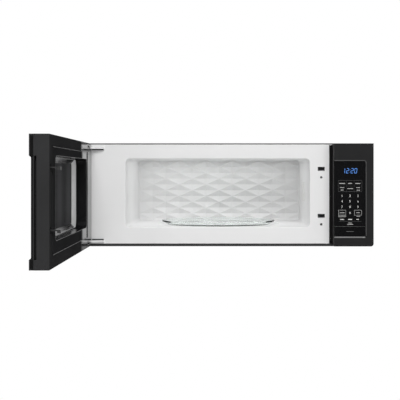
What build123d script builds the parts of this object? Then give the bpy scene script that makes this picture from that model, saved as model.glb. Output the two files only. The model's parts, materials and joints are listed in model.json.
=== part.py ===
from build123d import *
import math
import os

# Over-the-range microwave oven and hood, wall hung, shown with its door open.
# Millimetres, +Z up, the front faces -Y. Heights are counted from the underside of the case,
# depths from the wall, and every piece is moved so that the origin is the centre of the back.

# Case
CASE_W = 759.0
CASE_H = 260.35
CASE_D = 424.5
SHEET = 1.0
TOP_FLANGE = 2.6
BASE_LIP = 6.6
WALL_PLATE_T = 2.0
WALL_PLATE_GAP = 2.2
FIT = 0.3

# Oven cavity
CAVITY_LEFT = 137.5
MACHINE_BAY = 156.5
CAVITY_W = CASE_W - CAVITY_LEFT - MACHINE_BAY
CAVITY_FLOOR = 49.0
CEILING_SPACE = 39.35
CAVITY_H = CASE_H - CAVITY_FLOOR - CEILING_SPACE
CAVITY_D = 370.0
CAVITY_SHEET = 1.0
MOUTH_R = 10.0
MOUTH_ROLL = 3.0
WELL_DEPTH = 17.0
WELL_R = 164.0
WELL_SLOPE = 10.0
WELL_FLANGE = 8.0
FACE_T = 1.2

# Control column and the strip beside it: places from the left side of the case
COLUMN_W = 98.5
STRIP_W = 8.0
PANEL_LEFT = CASE_W - COLUMN_W
STRIP_LEFT = PANEL_LEFT - STRIP_W
PANEL_WALL = 2.5
TOUCH_T = 2.0
TRIM_TOP = 51.7
PANEL_CORNER_R = 7.0
RECESS_CORNER_R = 5.0

# Door, closed: measured from the left side of the case and from the face of the oven
DOOR_SIDE_GAP = 2.1
DOOR_TOP_GAP = 1.35
DOOR_W = STRIP_LEFT - DOOR_SIDE_GAP
DOOR_BOTTOM = 3.0
DOOR_TOP = CASE_H - DOOR_TOP_GAP
DOOR_GAP = 4.0
DOOR_T = 38.5
PIN_FROM_LEFT = 27.0
PIN_FROM_FACE = 30.3
PIN_R = 3.0
OPEN_ANGLE = 89.0
SWING_R = 29.4
TOP_BAND = 44.5
BOTTOM_BAND = 23.0
SIDE_BAND = 20.0
PANEL_RECESS = 4.0
BAND_CHAMFER = 3.0
LIP_T = 6.0
GRIP_GROOVE = 4.0
GRIP_DEPTH = 12.0
JOINT_LINE_T = 5.0
JOINT_LINE_DEPTH = 1.5

# Inner side of the door
CHOKE_LEFT = 110.0
CHOKE_RIGHT = DOOR_W - 30.4
CHOKE_BOTTOM = 29.0
CHOKE_TOP = DOOR_TOP - 23.0
CHOKE_PROUD = 1.8
CHOKE_R = 10.0
WINDOW_LEFT = CHOKE_LEFT + 10.0
WINDOW_RIGHT = CHOKE_RIGHT - 28.0
WINDOW_BOTTOM = CHOKE_BOTTOM + 25.0
WINDOW_TOP = CHOKE_TOP - 17.0
WINDOW_R = 16.0
WINDOW_WALL = 24.0
BEZEL_SLOPE = 6.5
BEZEL_SIDE = 34.0
BEZEL_EDGE = 12.0
SCREEN_T = 1.0

# Latch
LATCH_FROM_LEFT = DOOR_W - 17.9
LATCH_LOW = 76.5
LATCH_HIGH = DOOR_TOP - 63.5
LATCH_HEIGHTS = (LATCH_LOW, LATCH_HIGH)
LATCH_SLOT_W = 17.8
LATCH_SLOT_H = 10.3
HOOK_REACH = 19.0
HOOK_T = 2.4
HOOK_BARB_L = 7.0
HOOK_BARB_H = 4.6
PILOT_DROP = 21.2
PILOT_R = 3.0

# Turntable
TRAY_R = 152.5
TRAY_T = 5.0
TRAY_RIM = 8.0
RING_R = 92.0
RING_T = 3.0
ROLLER_R = 7.0
ROLLER_W = 6.0
ROLLER_COUNT = 3
AXLE_R = 1.6
COUPLER_R = 12.0
SHAFT_R = 3.5
RUN_FIT = 0.05

# Wall plate and its hooks
HOOK_Z = 34.0
WALL_HOLE_R = 4.0
WALL_HOLE_SPAN = 406.4
WALL_HOLE_Z = CASE_H - 55.35
WALL_PLATE_INSET = 24.5
WALL_PLATE_LOW = 12.0
WALL_PLATE_HIGH = CASE_H - 15.35
LIGHTENING_R = 28.0
HOOK_RISE = 8.0
WALL_HOOK_T = 2.0
HOOK_W = 24.0
HOOK_SLOT_W = 28.0
HOOK_PITCH = (CASE_W - 159.0) / 4
HOOK_XS = [HOOK_PITCH * i for i in range(-2, 3)]

# Vent
FILTER_SPACING = 50.0
FILTER_D = 128.0
FILTER_T = 8.0
FILTER_FRAME = 9.0
LAMP_W = 90.0
LAMP_D = 58.0
LAMP_T = 3.0
LENS_SWING = 0.8
DAMPER_W = 254.0
DAMPER_D = 82.0
WHEEL_R = 52.0
WHEEL_W = 52.0
BLADE_COUNT = 30
BLOWER_MOTOR_L = 58.0
FAN_R = 48.0

LEFT = -CASE_W / 2
FACE = -CASE_D
REAR = -(WALL_PLATE_T + WALL_PLATE_GAP)
PIN_X = LEFT + PIN_FROM_LEFT
PIN_Y = FACE - PIN_FROM_FACE
FRONT = FACE - DOOR_GAP - DOOR_T
CAV_X0 = LEFT + CAVITY_LEFT
CAV_X1 = CAV_X0 + CAVITY_W
CAV_XC = (CAV_X0 + CAV_X1) / 2
CAV_Y1 = FACE + CAVITY_D
CAV_YC = FACE + CAVITY_D / 2
CAV_TOP = CAVITY_FLOOR + CAVITY_H
WELL_FLOOR = CAVITY_FLOOR - WELL_DEPTH
MOUTH = (CAV_X0, CAV_X1, CAVITY_FLOOR, CAV_TOP)
LINER_Y = FACE + MOUTH_ROLL + FACE_T
PARTS = {}


def block(x0, x1, y0, y1, z0, z1):
    """A box between two corners."""
    middle = Pos((x0 + x1) / 2, (y0 + y1) / 2, (z0 + z1) / 2)
    return middle * Box(x1 - x0, y1 - y0, z1 - z0)


def rod(x, y, z, radius, length, axis="Z"):
    """A cylinder that starts at a point and runs along +X, +Y or +Z."""
    turn = {"X": Rot(0, 90, 0), "Y": Rot(-90, 0, 0), "Z": Rot(0, 0, 0)}[axis]
    start = Pos(x, y, z) * turn
    return start * Pos(0, 0, length / 2) * Cylinder(radius, length)


def rounded(x0, x1, y0, y1, z0, z1, radius):
    """A box whose four edges along Y are rounded."""
    plane = Plane((x0 + x1) / 2 * Vector(1, 0, 0) + Vector(0, y0, (z0 + z1) / 2), (1, 0, 0), (0, 1, 0))
    return extrude(plane * RectangleRounded(x1 - x0, z1 - z0, radius), y1 - y0)


def tapered(near, far, y0, y1, radius0, radius1):
    """A loft along Y between two rounded rectangles, each given as x0, x1, z0, z1."""
    faces = []
    for (x0, x1, z0, z1), y, radius in ((near, y0, radius0), (far, y1, radius1)):
        plane = Plane(((x0 + x1) / 2, y, (z0 + z1) / 2), (1, 0, 0), (0, 1, 0))
        faces.append(plane * RectangleRounded(x1 - x0, z1 - z0, radius))
    return loft(faces)


def grown(edges, amount):
    """Rectangle x0, x1, z0, z1 moved out by an amount on each side."""
    x0, x1, z0, z1 = edges
    return (x0 - amount, x1 + amount, z0 - amount, z1 + amount)


def keep(name, solid, on_door=False):
    """Put a piece in its place and remember it under its node's name."""
    if on_door:
        pin = Pos(PIN_X, PIN_Y, 0)
        solid = pin * Rot(0, 0, -OPEN_ANGLE) * pin.inverse() * solid
    PARTS[name] = Pos(0, 0, -CASE_H / 2) * solid


# Positions that several case pieces share
BASE_T = 1.2
BASE_FLOOR = 10.0
PLENUM_Z0 = CAV_TOP + CAVITY_SHEET + 3.0
DAMPER_Y1 = REAR - 10.0
DAMPER_Y0 = DAMPER_Y1 - DAMPER_D
FILTER_Y0 = FACE + 150.0
FILTER_Y1 = FILTER_Y0 + FILTER_D
LAMP_Y0 = FACE + 42.0
BLOWER_X = LEFT + 69.0
BLOWER_FOOT = 22.0
FILTER_OUTER = -BLOWER_X - BLOWER_FOOT - 13.5
FILTER_W = FILTER_OUTER - FILTER_SPACING / 2
HOOD_X = (FILTER_OUTER + FILTER_SPACING / 2) / 2
BLOWER_Z = 92.0
BLOWER_Y0 = FACE + 95.0
SCROLL_R = 62.0
SCROLL_T = 1.5
SCROLL_L = WHEEL_W + 12.0
SCROLL_GAP = 6.0
INTAKE_R = 44.0
TOP_BOLT_R = 3.5
TOP_BOLT_SPAN = CASE_W - 149.0
TOP_BOLT_Y = FACE + 60.0
GLAND_R = 9.0
GLAND_X = CASE_W / 2 - 49.5
GLAND_Y = REAR - 60.0


def outer_wrapper():
    """Top and two side walls of the case, folded from one sheet, with a narrow front flange."""
    x1 = CASE_W / 2
    shell = block(LEFT, x1, FACE, REAR, BASE_FLOOR, CASE_H)
    shell -= block(LEFT + SHEET, x1 - SHEET, FACE + SHEET, REAR, BASE_FLOOR, CASE_H - SHEET)
    window = block(LEFT + SHEET, x1 - SHEET, FACE, FACE + SHEET, BASE_FLOOR, CASE_H - TOP_FLANGE)
    damper = block(-DAMPER_W / 2, DAMPER_W / 2, DAMPER_Y0, DAMPER_Y1, CASE_H - SHEET, CASE_H)
    shell -= window + damper
    for side in (-1, 1):
        shell -= rod(side * TOP_BOLT_SPAN / 2, TOP_BOLT_Y, CASE_H - SHEET, TOP_BOLT_R, SHEET)
    shell -= rod(GLAND_X, GLAND_Y, CASE_H - SHEET, GLAND_R + FIT, SHEET)
    return shell


def rear_plate():
    """Flat back of the case, with slots that drop over the hooks of the wall plate."""
    x1 = CASE_W / 2 - SHEET - FIT
    plate = block(-x1, x1, REAR - SHEET, REAR, BASE_T + FIT, CASE_H - SHEET - FIT)
    for x in HOOK_XS:
        half = HOOK_SLOT_W / 2
        plate -= block(x - half, x + half, REAR - SHEET, REAR, HOOK_Z - HOOK_RISE, HOOK_Z + WALL_HOOK_T + FIT)
    return plate



def wall_plate():
    """Pressed steel plate screwed to the wall studs; five hooks along its foot carry the case."""
    edge = CASE_W / 2 - WALL_PLATE_INSET
    plate = block(-edge, edge, -WALL_PLATE_T, 0, WALL_PLATE_LOW, WALL_PLATE_HIGH)
    for step in (-1.8, -0.9, 0.9, 1.8):
        plate -= rod(step * HOOK_PITCH, -WALL_PLATE_T, CASE_H / 2, LIGHTENING_R, WALL_PLATE_T, "Y")
    for side in (-1, 1):
        plate -= rod(side * WALL_HOLE_SPAN / 2, -WALL_PLATE_T, WALL_HOLE_Z, WALL_HOLE_R, WALL_PLATE_T, "Y")
    for x in HOOK_XS:
        half = HOOK_W / 2
        arm = block(x - half, x + half, REAR - SHEET - 3.5, -WALL_PLATE_T, HOOK_Z, HOOK_Z + WALL_HOOK_T)
        tip = block(x - half, x + half, REAR - SHEET - 3.5, REAR - SHEET - 1.5, HOOK_Z, HOOK_Z + HOOK_RISE)
        plate += arm + tip
    return plate


def base_pan():
    """Underside of the hood: a shallow tray with two filter openings and two lamp openings."""
    x1 = CASE_W / 2
    pan = block(LEFT, x1, FACE, REAR, 0, BASE_FLOOR - FIT)
    inner = block(LEFT + BASE_T, x1 - BASE_T, FACE + BASE_T, REAR, BASE_T, BASE_FLOOR)
    lip = block(LEFT + BASE_T, x1 - BASE_T, FACE, FACE + BASE_T, BASE_LIP, BASE_FLOOR)
    pan -= inner + lip
    for side in (-1, 1):
        xc = side * HOOD_X
        half = FILTER_W / 2 + FIT
        pan -= block(xc - half, xc + half, FILTER_Y0 - FIT, FILTER_Y1 + FIT, 0, BASE_T)
        half = LAMP_W / 2 + FIT
        pan -= block(xc - half, xc + half, LAMP_Y0 - FIT, LAMP_Y0 + LAMP_D + LENS_SWING, 0, BASE_T)
    return pan


def mouth_roll(y0, inset):
    """Collar round the oven's mouth with its front inner edge rolled over, back to the oven's walls."""
    x0, x1, z0, z1 = grown(MOUTH, MOUTH_ROLL + FACE_T)
    collar = rounded(x0, x1, y0, LINER_Y, z0, z1, MOUTH_R + MOUTH_ROLL + FACE_T)
    x0, x1, z0, z1 = grown(MOUTH, inset)
    collar -= rounded(x0, x1, y0, LINER_Y, z0, z1, MOUTH_R + inset)
    front = collar.faces().sort_by(Axis.Y)[0]
    return fillet(front.inner_wires()[0].edges(), MOUTH_ROLL - inset)


def front_frame():
    """White front of the oven: a flat plate whose mouth rolls inwards, with the slots of the latch."""
    x0 = LEFT + SHEET + FIT
    x1 = LEFT + PANEL_LEFT
    z1 = CASE_H - SHEET - FIT
    plate = block(x0, x1, FACE + SHEET, FACE + SHEET + FACE_T, BASE_FLOOR, z1)
    face = block(x0, LEFT + STRIP_LEFT, FACE, FACE + SHEET, BASE_LIP + FIT, CASE_H - TOP_FLANGE - FIT)
    plate += face
    x0, x1, z0, z1 = grown(MOUTH, MOUTH_ROLL)
    plate -= rounded(x0, x1, FACE, FACE + SHEET + FACE_T, z0, z1, MOUTH_R + MOUTH_ROLL)
    plate += mouth_roll(FACE, 0) - mouth_roll(FACE + FACE_T, FACE_T)
    for z in LATCH_HEIGHTS:
        x = LEFT + LATCH_FROM_LEFT
        half_w, half_h = LATCH_SLOT_W / 2, LATCH_SLOT_H / 2
        plate -= block(x - half_w, x + half_w, FACE, FACE + 3, z - half_h, z + half_h)
        plate -= rod(x, FACE, z - PILOT_DROP, PILOT_R, 3, "Y")
    return plate


def oven_space(t):
    """The space inside the oven with all its rear edges coved, moved out by a wall."""
    space = rounded(CAV_X0 - t, CAV_X1 + t, LINER_Y, CAV_Y1 + t, CAVITY_FLOOR - t, CAV_TOP + t, MOUTH_R + t)
    rear = space.faces().sort_by(Axis.Y)[-1]
    return fillet(rear.edges(), MOUTH_R - 1 + t)


def tray_well(z, radius):
    """Round dish with a sloping wall, as deep as the tray's well."""
    middle = Pos(CAV_XC, CAV_YC, z + WELL_DEPTH / 2)
    return middle * Cone(radius - WELL_SLOPE, radius, WELL_DEPTH)


def cavity_liner():
    """Five-walled oven box with coved corners, a round opening in its floor and the feed in its side."""
    t = CAVITY_SHEET
    box = oven_space(t) - oven_space(0)
    box -= rod(CAV_XC, CAV_YC, CAVITY_FLOOR - t, WELL_R, t)
    box -= feed_window(CAV_X1, t)
    return box


def turntable_well():
    """Pressed dish for the roller ring, its flange welded under the floor's round opening."""
    t = CAVITY_SHEET
    dish = tray_well(WELL_FLOOR - t, WELL_R + t)
    dish += rod(CAV_XC, CAV_YC, CAVITY_FLOOR - 2 * t, WELL_R + WELL_FLANGE, t)
    dish -= tray_well(WELL_FLOOR, WELL_R)
    dish -= rod(CAV_XC, CAV_YC, WELL_FLOOR - t, SHAFT_R + 2, t)
    return dish


FEED_W = 86.0
FEED_H = 42.0
FEED_Z = CAVITY_FLOOR + CAVITY_H / 2
FEED_Y = CAV_YC + 20.0


def feed_window(x, length):
    """The rectangular hole through which the microwaves enter, in the right wall."""
    y0, y1 = FEED_Y - FEED_W / 2, FEED_Y + FEED_W / 2
    return block(x, x + length, y0, y1, FEED_Z - FEED_H / 2, FEED_Z + FEED_H / 2)


keep("outer_wrapper", outer_wrapper())
keep("rear_plate", rear_plate())
keep("wall_plate", wall_plate())
keep("base_pan", base_pan())
keep("front_frame", front_frame())
keep("cavity_liner", cavity_liner())
keep("turntable_well", turntable_well())


# Door: places measured from the left side of the case
DOOR_INNER = FACE - DOOR_GAP
GLASS_T = 3.2
GLASS_LAP = 3.0
FRAME_WALL = 2.5
PAN_T = 1.2
CHOKE_LAP = 6.0
HINGE_INSET = 10.5
HINGE_HEIGHTS = (DOOR_BOTTOM + HINGE_INSET, DOOR_TOP - HINGE_INSET)
HINGE_T = 5.0
HINGE_SLOT = 7.2
PIN_IN_CAP = HINGE_INSET - FRAME_WALL - HINGE_SLOT / 2 - 1.0
BRACKET_X0 = 49.5
BRACKET_X1 = 82.5
BOSS_H = 13.0
WINDOW = (LEFT + WINDOW_LEFT, LEFT + WINDOW_RIGHT, WINDOW_BOTTOM, WINDOW_TOP)
CHOKE = (LEFT + CHOKE_LEFT, LEFT + CHOKE_RIGHT, CHOKE_BOTTOM, CHOKE_TOP)
PANE = (WINDOW[0] + BEZEL_SIDE, WINDOW[1] - BEZEL_SIDE, WINDOW[2] + BEZEL_EDGE, WINDOW[3] - BEZEL_EDGE)
SLOPE_Y = DOOR_INNER + CHOKE_PROUD - WINDOW_WALL
PANE_Y = SLOPE_Y - BEZEL_SLOPE
FREE_X = LEFT + DOOR_W


def leaf_plan(x0, x1, y0, y1, margin=0.0):
    """Plan of the door's frame: a rectangle whose inner corner on the pin side is an arc about the pin."""
    plan = Pos((x0 + x1) / 2, (y0 + y1) / 2) * Rectangle(x1 - x0, y1 - y0)
    corner = Pos((x0 + PIN_X) / 2, (PIN_Y + y1) / 2) * Rectangle(PIN_X - x0, y1 - PIN_Y)
    round_part = Pos(PIN_X, PIN_Y) * Circle(SWING_R - margin)
    return plan - (corner - round_part)


def front_recess(x0, x1, z0, z1):
    """Cut for the sunk panel: a window in the front wall with a sloping edge."""
    wide = grown((x0, x1, z0, z1), BAND_CHAMFER)
    narrow = (x0, x1, z0, z1)
    return tapered(wide, narrow, FRONT, FRONT + PANEL_RECESS, RECESS_CORNER_R, RECESS_CORNER_R)


def hinge_slots():
    """Two slots at the pin end that clear the fixed hinge brackets over the whole swing."""
    slots = []
    for z in HINGE_HEIGHTS:
        x1 = LEFT + BRACKET_X1 + 5.0
        slots.append(block(LEFT, x1, PIN_Y - 12.0, DOOR_INNER, z - HINGE_SLOT / 2, z + HINGE_SLOT / 2))
    return slots


def door_frame():
    """Outer shell of the door: bands round the sunk glass, edge walls and a flat inner border."""
    w = FRAME_WALL
    outer = extrude(leaf_plan(LEFT, FREE_X, FRONT, DOOR_INNER), DOOR_TOP - DOOR_BOTTOM)
    inner_plan = leaf_plan(LEFT + w, FREE_X - w, FRONT + PANEL_RECESS, DOOR_INNER - w, w)
    inner = extrude(inner_plan, DOOR_TOP - DOOR_BOTTOM - 2 * w)
    frame = Pos(0, 0, DOOR_BOTTOM) * outer - Pos(0, 0, DOOR_BOTTOM + w) * inner
    low, high = DOOR_BOTTOM + BOTTOM_BAND, DOOR_TOP - TOP_BAND
    frame -= front_recess(LEFT + SIDE_BAND, FREE_X + 3 * SIDE_BAND, low, high)
    grip_y = FRONT + PANEL_RECESS + LIP_T + GRIP_GROOVE
    low, high = low - BAND_CHAMFER, high + BAND_CHAMFER
    frame -= block(FREE_X - w, FREE_X, FRONT, grip_y, low, high)
    for z0, z1 in ((DOOR_BOTTOM, low), (high, DOOR_TOP)):
        y0 = FRONT + PANEL_RECESS - 1.0
        frame -= block(FREE_X - JOINT_LINE_DEPTH, FREE_X, y0, y0 + JOINT_LINE_T, z0, z1)
    inside = grown(CHOKE, -CHOKE_LAP)
    frame -= rounded(inside[0], inside[1], DOOR_INNER - w, DOOR_INNER, inside[2], inside[3], CHOKE_R)
    for slot in hinge_slots():
        frame -= slot
    for z in LATCH_HEIGHTS:
        frame -= latch_window(z, w)
    return frame


def latch_window(z, depth):
    """Opening in the door's inner border for one latch hook and its travel."""
    x = LEFT + LATCH_FROM_LEFT
    return block(x - 7, x + 7, DOOR_INNER - depth, DOOR_INNER, z - 7, z + 7)


def door_glass():
    """Dark glass front of the door; its free edge is the lip that the fingers pull."""
    low, high = DOOR_BOTTOM + BOTTOM_BAND, DOOR_TOP - TOP_BAND
    y0 = FRONT + PANEL_RECESS
    glass = block(LEFT + SIDE_BAND - GLASS_LAP, FREE_X - FRAME_WALL - FIT, y0, y0 + GLASS_T, low - GLASS_LAP,
                  high + GLASS_LAP)
    lip_low, lip_high = low - BAND_CHAMFER + FIT, high + BAND_CHAMFER - FIT
    return glass + block(FREE_X - FRAME_WALL - FIT, FREE_X, y0, y0 + GLASS_T, lip_low, lip_high)


def grip_channel():
    """Full-height finger channel behind the lip at the free edge."""
    low = DOOR_BOTTOM + BOTTOM_BAND - BAND_CHAMFER + FIT
    high = DOOR_TOP - TOP_BAND + BAND_CHAMFER - FIT
    y0 = FRONT + PANEL_RECESS
    y1 = y0 + LIP_T
    wall = 1.5
    x0 = FREE_X - GRIP_DEPTH - wall
    channel = block(FREE_X - 30, FREE_X, y0 + GLASS_T, y1, low, high)
    channel += block(x0, x0 + wall, y1, y1 + GRIP_GROOVE, low, high)
    return channel + block(x0, FREE_X - FRAME_WALL, y1 + GRIP_GROOVE, y1 + GRIP_GROOVE + wall, low, high)


def choke_cover():
    """Thin raised cover over the wave trap, round the window."""
    y1 = DOOR_INNER + CHOKE_PROUD
    cover = rounded(CHOKE[0], CHOKE[1], DOOR_INNER, y1, CHOKE[2], CHOKE[3], CHOKE_R)
    return cover - rounded(WINDOW[0], WINDOW[1], DOOR_INNER, y1, WINDOW[2], WINDOW[3], WINDOW_R)


def door_pan():
    """Deep-drawn steel pan behind the choke cover: flange, straight wall, sloping bezel and screen."""
    flange = grown(CHOKE, -CHOKE_LAP - FIT)
    y1 = DOOR_INNER
    pan = rounded(flange[0], flange[1], y1 - PAN_T, y1, flange[2], flange[3], CHOKE_R)
    wall = grown(WINDOW, PAN_T)
    pan += rounded(wall[0], wall[1], SLOPE_Y, y1, wall[2], wall[3], WINDOW_R + PAN_T)
    pan += tapered(grown(PANE, PAN_T), wall, PANE_Y - PAN_T, SLOPE_Y, WINDOW_R, WINDOW_R + PAN_T)
    pan -= rounded(WINDOW[0], WINDOW[1], SLOPE_Y, y1, WINDOW[2], WINDOW[3], WINDOW_R)
    return pan - tapered(PANE, WINDOW, PANE_Y, SLOPE_Y, WINDOW_R, WINDOW_R)


def inner_window():
    """Clear sheet over the screen."""
    inset = grown(PANE, -FIT)
    return rounded(inset[0], inset[1], PANE_Y, PANE_Y + SCREEN_T / 2, inset[2], inset[3], WINDOW_R)


def hinge_bracket(z):
    """Flat arm from the face of the oven to the pin."""
    y_back = FACE
    arm = Polyline((LEFT + BRACKET_X0, y_back), (LEFT + BRACKET_X1, y_back), (LEFT + BRACKET_X1, y_back - 9),
                   (PIN_X + 7, PIN_Y - 6), (PIN_X - 4, PIN_Y - 6), (PIN_X - 4, PIN_Y + 4),
                   (LEFT + BRACKET_X0, y_back))
    plate = extrude(make_face(arm) + Pos(PIN_X, PIN_Y) * Circle(8), HINGE_T)
    plate = Pos(0, 0, z - HINGE_T / 2) * plate
    return plate - rod(PIN_X, PIN_Y, z - HINGE_T / 2, PIN_R, HINGE_T)


def hinge_pin(z, up):
    """Pin fixed in a bracket; the door's bosses turn on its two ends."""
    cap = HINGE_SLOT / 2 + PIN_IN_CAP
    body = HINGE_SLOT / 2 + BOSS_H - 1.0
    low, high = (body, cap) if up else (cap, body)
    return rod(PIN_X, PIN_Y, z - low, PIN_R, low + high)


def hinge_bosses(z, up):
    """Bored blocks in the door on both sides of a bracket."""
    half = HINGE_SLOT / 2
    outer = (DOOR_TOP - FRAME_WALL) if up else (DOOR_BOTTOM + FRAME_WALL)
    spans = [(z + half, outer), (z - half - BOSS_H, z - half)] if up else [(outer, z - half),
                                                                        (z + half, z + half + BOSS_H)]
    bosses = []
    for z0, z1 in spans:
        y0 = FRONT + PANEL_RECESS + GLASS_T + FIT
        boss = block(PIN_X - 10, PIN_X + 12, y0, PIN_Y + 10, z0, z1)
        bosses.append(boss - rod(PIN_X, PIN_Y, z0, PIN_R + RUN_FIT, z1 - z0))
    return bosses


def latch_hooks():
    """One bar inside the door with two hooks that reach into the slots of the face."""
    x = LEFT + LATCH_FROM_LEFT
    y0 = DOOR_INNER - FRAME_WALL - 4.0
    bar = block(x - 5, x + 5, y0, y0 + 3, LATCH_LOW - 12, LATCH_HIGH + 8)
    for z in LATCH_HEIGHTS:
        hook = block(x - 5, x + 5, y0, DOOR_INNER + HOOK_REACH, z - 0.6, z - 0.6 + HOOK_T)
        tip = DOOR_INNER + HOOK_REACH
        barb = block(x - 5, x + 5, tip - HOOK_BARB_L, tip, z - HOOK_BARB_H, z)
        bar += hook + barb
    return bar


def latch_guide():
    """Plastic guide in the door that keeps the latch bar to its vertical travel."""
    x = LEFT + LATCH_FROM_LEFT
    y0 = DOOR_INNER - FRAME_WALL - 4.0
    rail_y = FRONT + PANEL_RECESS + LIP_T + FIT
    guide = block(x - 8.5, x + 1.5, rail_y, y0 - FIT, LATCH_LOW - 18, LATCH_HIGH + 16)
    for z0, z1 in ((LATCH_LOW + 20, LATCH_LOW + 40), (LATCH_HIGH - 40, LATCH_HIGH - 20)):
        guide += block(x - 8.5, x - 5 - FIT, y0 - FIT, DOOR_INNER - FRAME_WALL, z0, z1)
    return guide


keep("door_frame", door_frame(), True)
keep("door_glass", door_glass(), True)
keep("grip_channel", grip_channel(), True)
keep("choke_cover", choke_cover(), True)
keep("door_pan", door_pan(), True)
keep("inner_window", inner_window(), True)
LOWER, UPPER = HINGE_HEIGHTS
keep("hinge_brackets", Compound([hinge_bracket(LOWER), hinge_bracket(UPPER)]))
keep("hinge_pins", Compound([hinge_pin(LOWER, False), hinge_pin(UPPER, True)]))
keep("hinge_bosses", Compound(hinge_bosses(LOWER, False) + hinge_bosses(UPPER, True)), True)
keep("latch_hooks", latch_hooks(), True)
keep("latch_guide", latch_guide(), True)


# Control column: places from the same bands as the door, so that both fronts line up
PANEL_X0 = LEFT + PANEL_LEFT
PANEL_X1 = CASE_W / 2
PANEL_BOTTOM = 2.5
PANEL_TOP = DOOR_TOP
RECESS_LOW = DOOR_BOTTOM + BOTTOM_BAND
RECESS_HIGH = DOOR_TOP - TOP_BAND
BOARD_Y = FRONT + 22.0
BOARD_T = 1.6
POST_R = 3.0
BOARD_INSET = 8.0
DISPLAY = (PANEL_X0 + 15.5, PANEL_X0 + 67.5, PANEL_TOP - 81.0, PANEL_TOP - 56.0)
SEAM = 0.4
# Transformer, relays and connector of the board: offset from its lower left corner, width, height, depth
BOARD_PARTS = ((8, 45.5, 30, 26, 16), (48, 45.5, 18, 22, 14), (10, 95.5, 16, 16, 15), (34, 95.5, 16, 16, 15),
               (12, 145.5, 44, 10, 9))


def control_housing():
    """Moulded column right of the door: front bands, side walls and posts for the board."""
    w = PANEL_WALL
    plan = (PANEL_X0, PANEL_X1, PANEL_BOTTOM, PANEL_TOP)
    shell = rounded(plan[0], plan[1], FRONT, FACE, plan[2], plan[3], PANEL_CORNER_R)
    shell += block(PANEL_X0, PANEL_X0 + 20, FRONT, FACE, PANEL_BOTTOM, PANEL_TOP)
    shell += block(PANEL_X0, PANEL_X1, FRONT, FACE, PANEL_TOP - COLUMN_W / 2, PANEL_TOP)
    inside = grown(plan, -w)
    shell -= rounded(inside[0], inside[1], FRONT + PANEL_RECESS, FACE, inside[2], inside[3], PANEL_CORNER_R - w)
    shell -= front_recess(PANEL_X0 - 3 * SIDE_BAND, PANEL_X1 - SIDE_BAND, RECESS_LOW, RECESS_HIGH)
    low, high = RECESS_LOW - BAND_CHAMFER, RECESS_HIGH + BAND_CHAMFER
    shell -= block(PANEL_X0, PANEL_X0 + w, FRONT, FRONT + PANEL_RECESS + TOUCH_T, low, high)
    for x, z in board_corners():
        shell += rod(x, FRONT + PANEL_RECESS, z, POST_R, BOARD_Y - FRONT - PANEL_RECESS, "Y")
    return shell


def board_corners():
    """Places of the four posts that hold the control board."""
    xs = (PANEL_X0 + BOARD_INSET, PANEL_X1 - BOARD_INSET)
    zs = (PANEL_BOTTOM + 12.0, PANEL_TOP - 12.0)
    return [(x, z) for x in xs for z in zs]


def panel_sheet(z0, z1):
    """A sheet that fills the sunk window between two heights."""
    y0 = FRONT + PANEL_RECESS
    x1 = PANEL_X1 - SIDE_BAND + GLASS_LAP
    sheet = block(PANEL_X0 + PANEL_WALL, x1, y0, y0 + TOUCH_T, z0, z1)
    low = max(z0, RECESS_LOW - BAND_CHAMFER + FIT)
    high = min(z1, RECESS_HIGH + BAND_CHAMFER - FIT)
    return sheet + block(PANEL_X0, PANEL_X0 + PANEL_WALL, y0, y0 + TOUCH_T, low, high)


def display_module():
    """Boxed display between the touch sheet and the board."""
    x0, x1, z0, z1 = DISPLAY
    return block(x0, x1, FRONT + PANEL_RECESS + TOUCH_T, BOARD_Y, z0, z1)


def control_board():
    """Circuit board with a relay, a small transformer and a connector."""
    corners = board_corners()
    x0, z0 = corners[0]
    x1, z1 = corners[-1]
    board = block(x0 - 4, x1 + 4, BOARD_Y, BOARD_Y + BOARD_T, z0 - 5, z1 + 4)
    y = BOARD_Y + BOARD_T
    for dx, dz, width, height, depth in BOARD_PARTS:
        board += block(x0 + dx, x0 + dx + width, y, y + depth, z0 + dz, z0 + dz + height)
    return board


def finger_strip():
    """Black strip between the white face and the control column."""
    high = CASE_H - TOP_FLANGE - 2
    return block(LEFT + STRIP_LEFT + FIT, PANEL_X0, FACE - 0.6, FACE + SHEET, BASE_FLOOR, high)


LATCH_X = LEFT + LATCH_FROM_LEFT
LATCH_Y = FACE + SHEET + FACE_T
LATCH_BLOCK_D = 26.0
LATCH_POCKET_D = 22.0
SWITCH_W = 20.0
SWITCH_D = 26.0
SWITCH_H = 16.0
TAB_L = 7.0
TAB_W = 3.0
TAB_T = 1.0
SWITCH_HEIGHTS = (LATCH_LOW - 16.5, LATCH_LOW + 27.5, LATCH_HIGH - 27.5)


def latch_block():
    """Moulded bracket behind the face with a ledge that each hook drops behind."""
    z0, z1 = LATCH_LOW - 34, LATCH_HIGH + 22
    body = block(LATCH_X - 14, LATCH_X + 14, LATCH_Y, LATCH_Y + LATCH_BLOCK_D, z0, z1)
    for z in LATCH_HEIGHTS:
        half_w = LATCH_SLOT_W / 2
        body -= block(LATCH_X - half_w, LATCH_X + half_w, LATCH_Y, LATCH_Y + LATCH_POCKET_D, z - 7, z + 7)
        body += block(LATCH_X - half_w, LATCH_X + half_w, LATCH_Y, LATCH_Y + 4, z - 7, z - 3.2)
        body -= rod(LATCH_X, LATCH_Y, z - PILOT_DROP, PILOT_R, 8, "Y")
    return body


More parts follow.
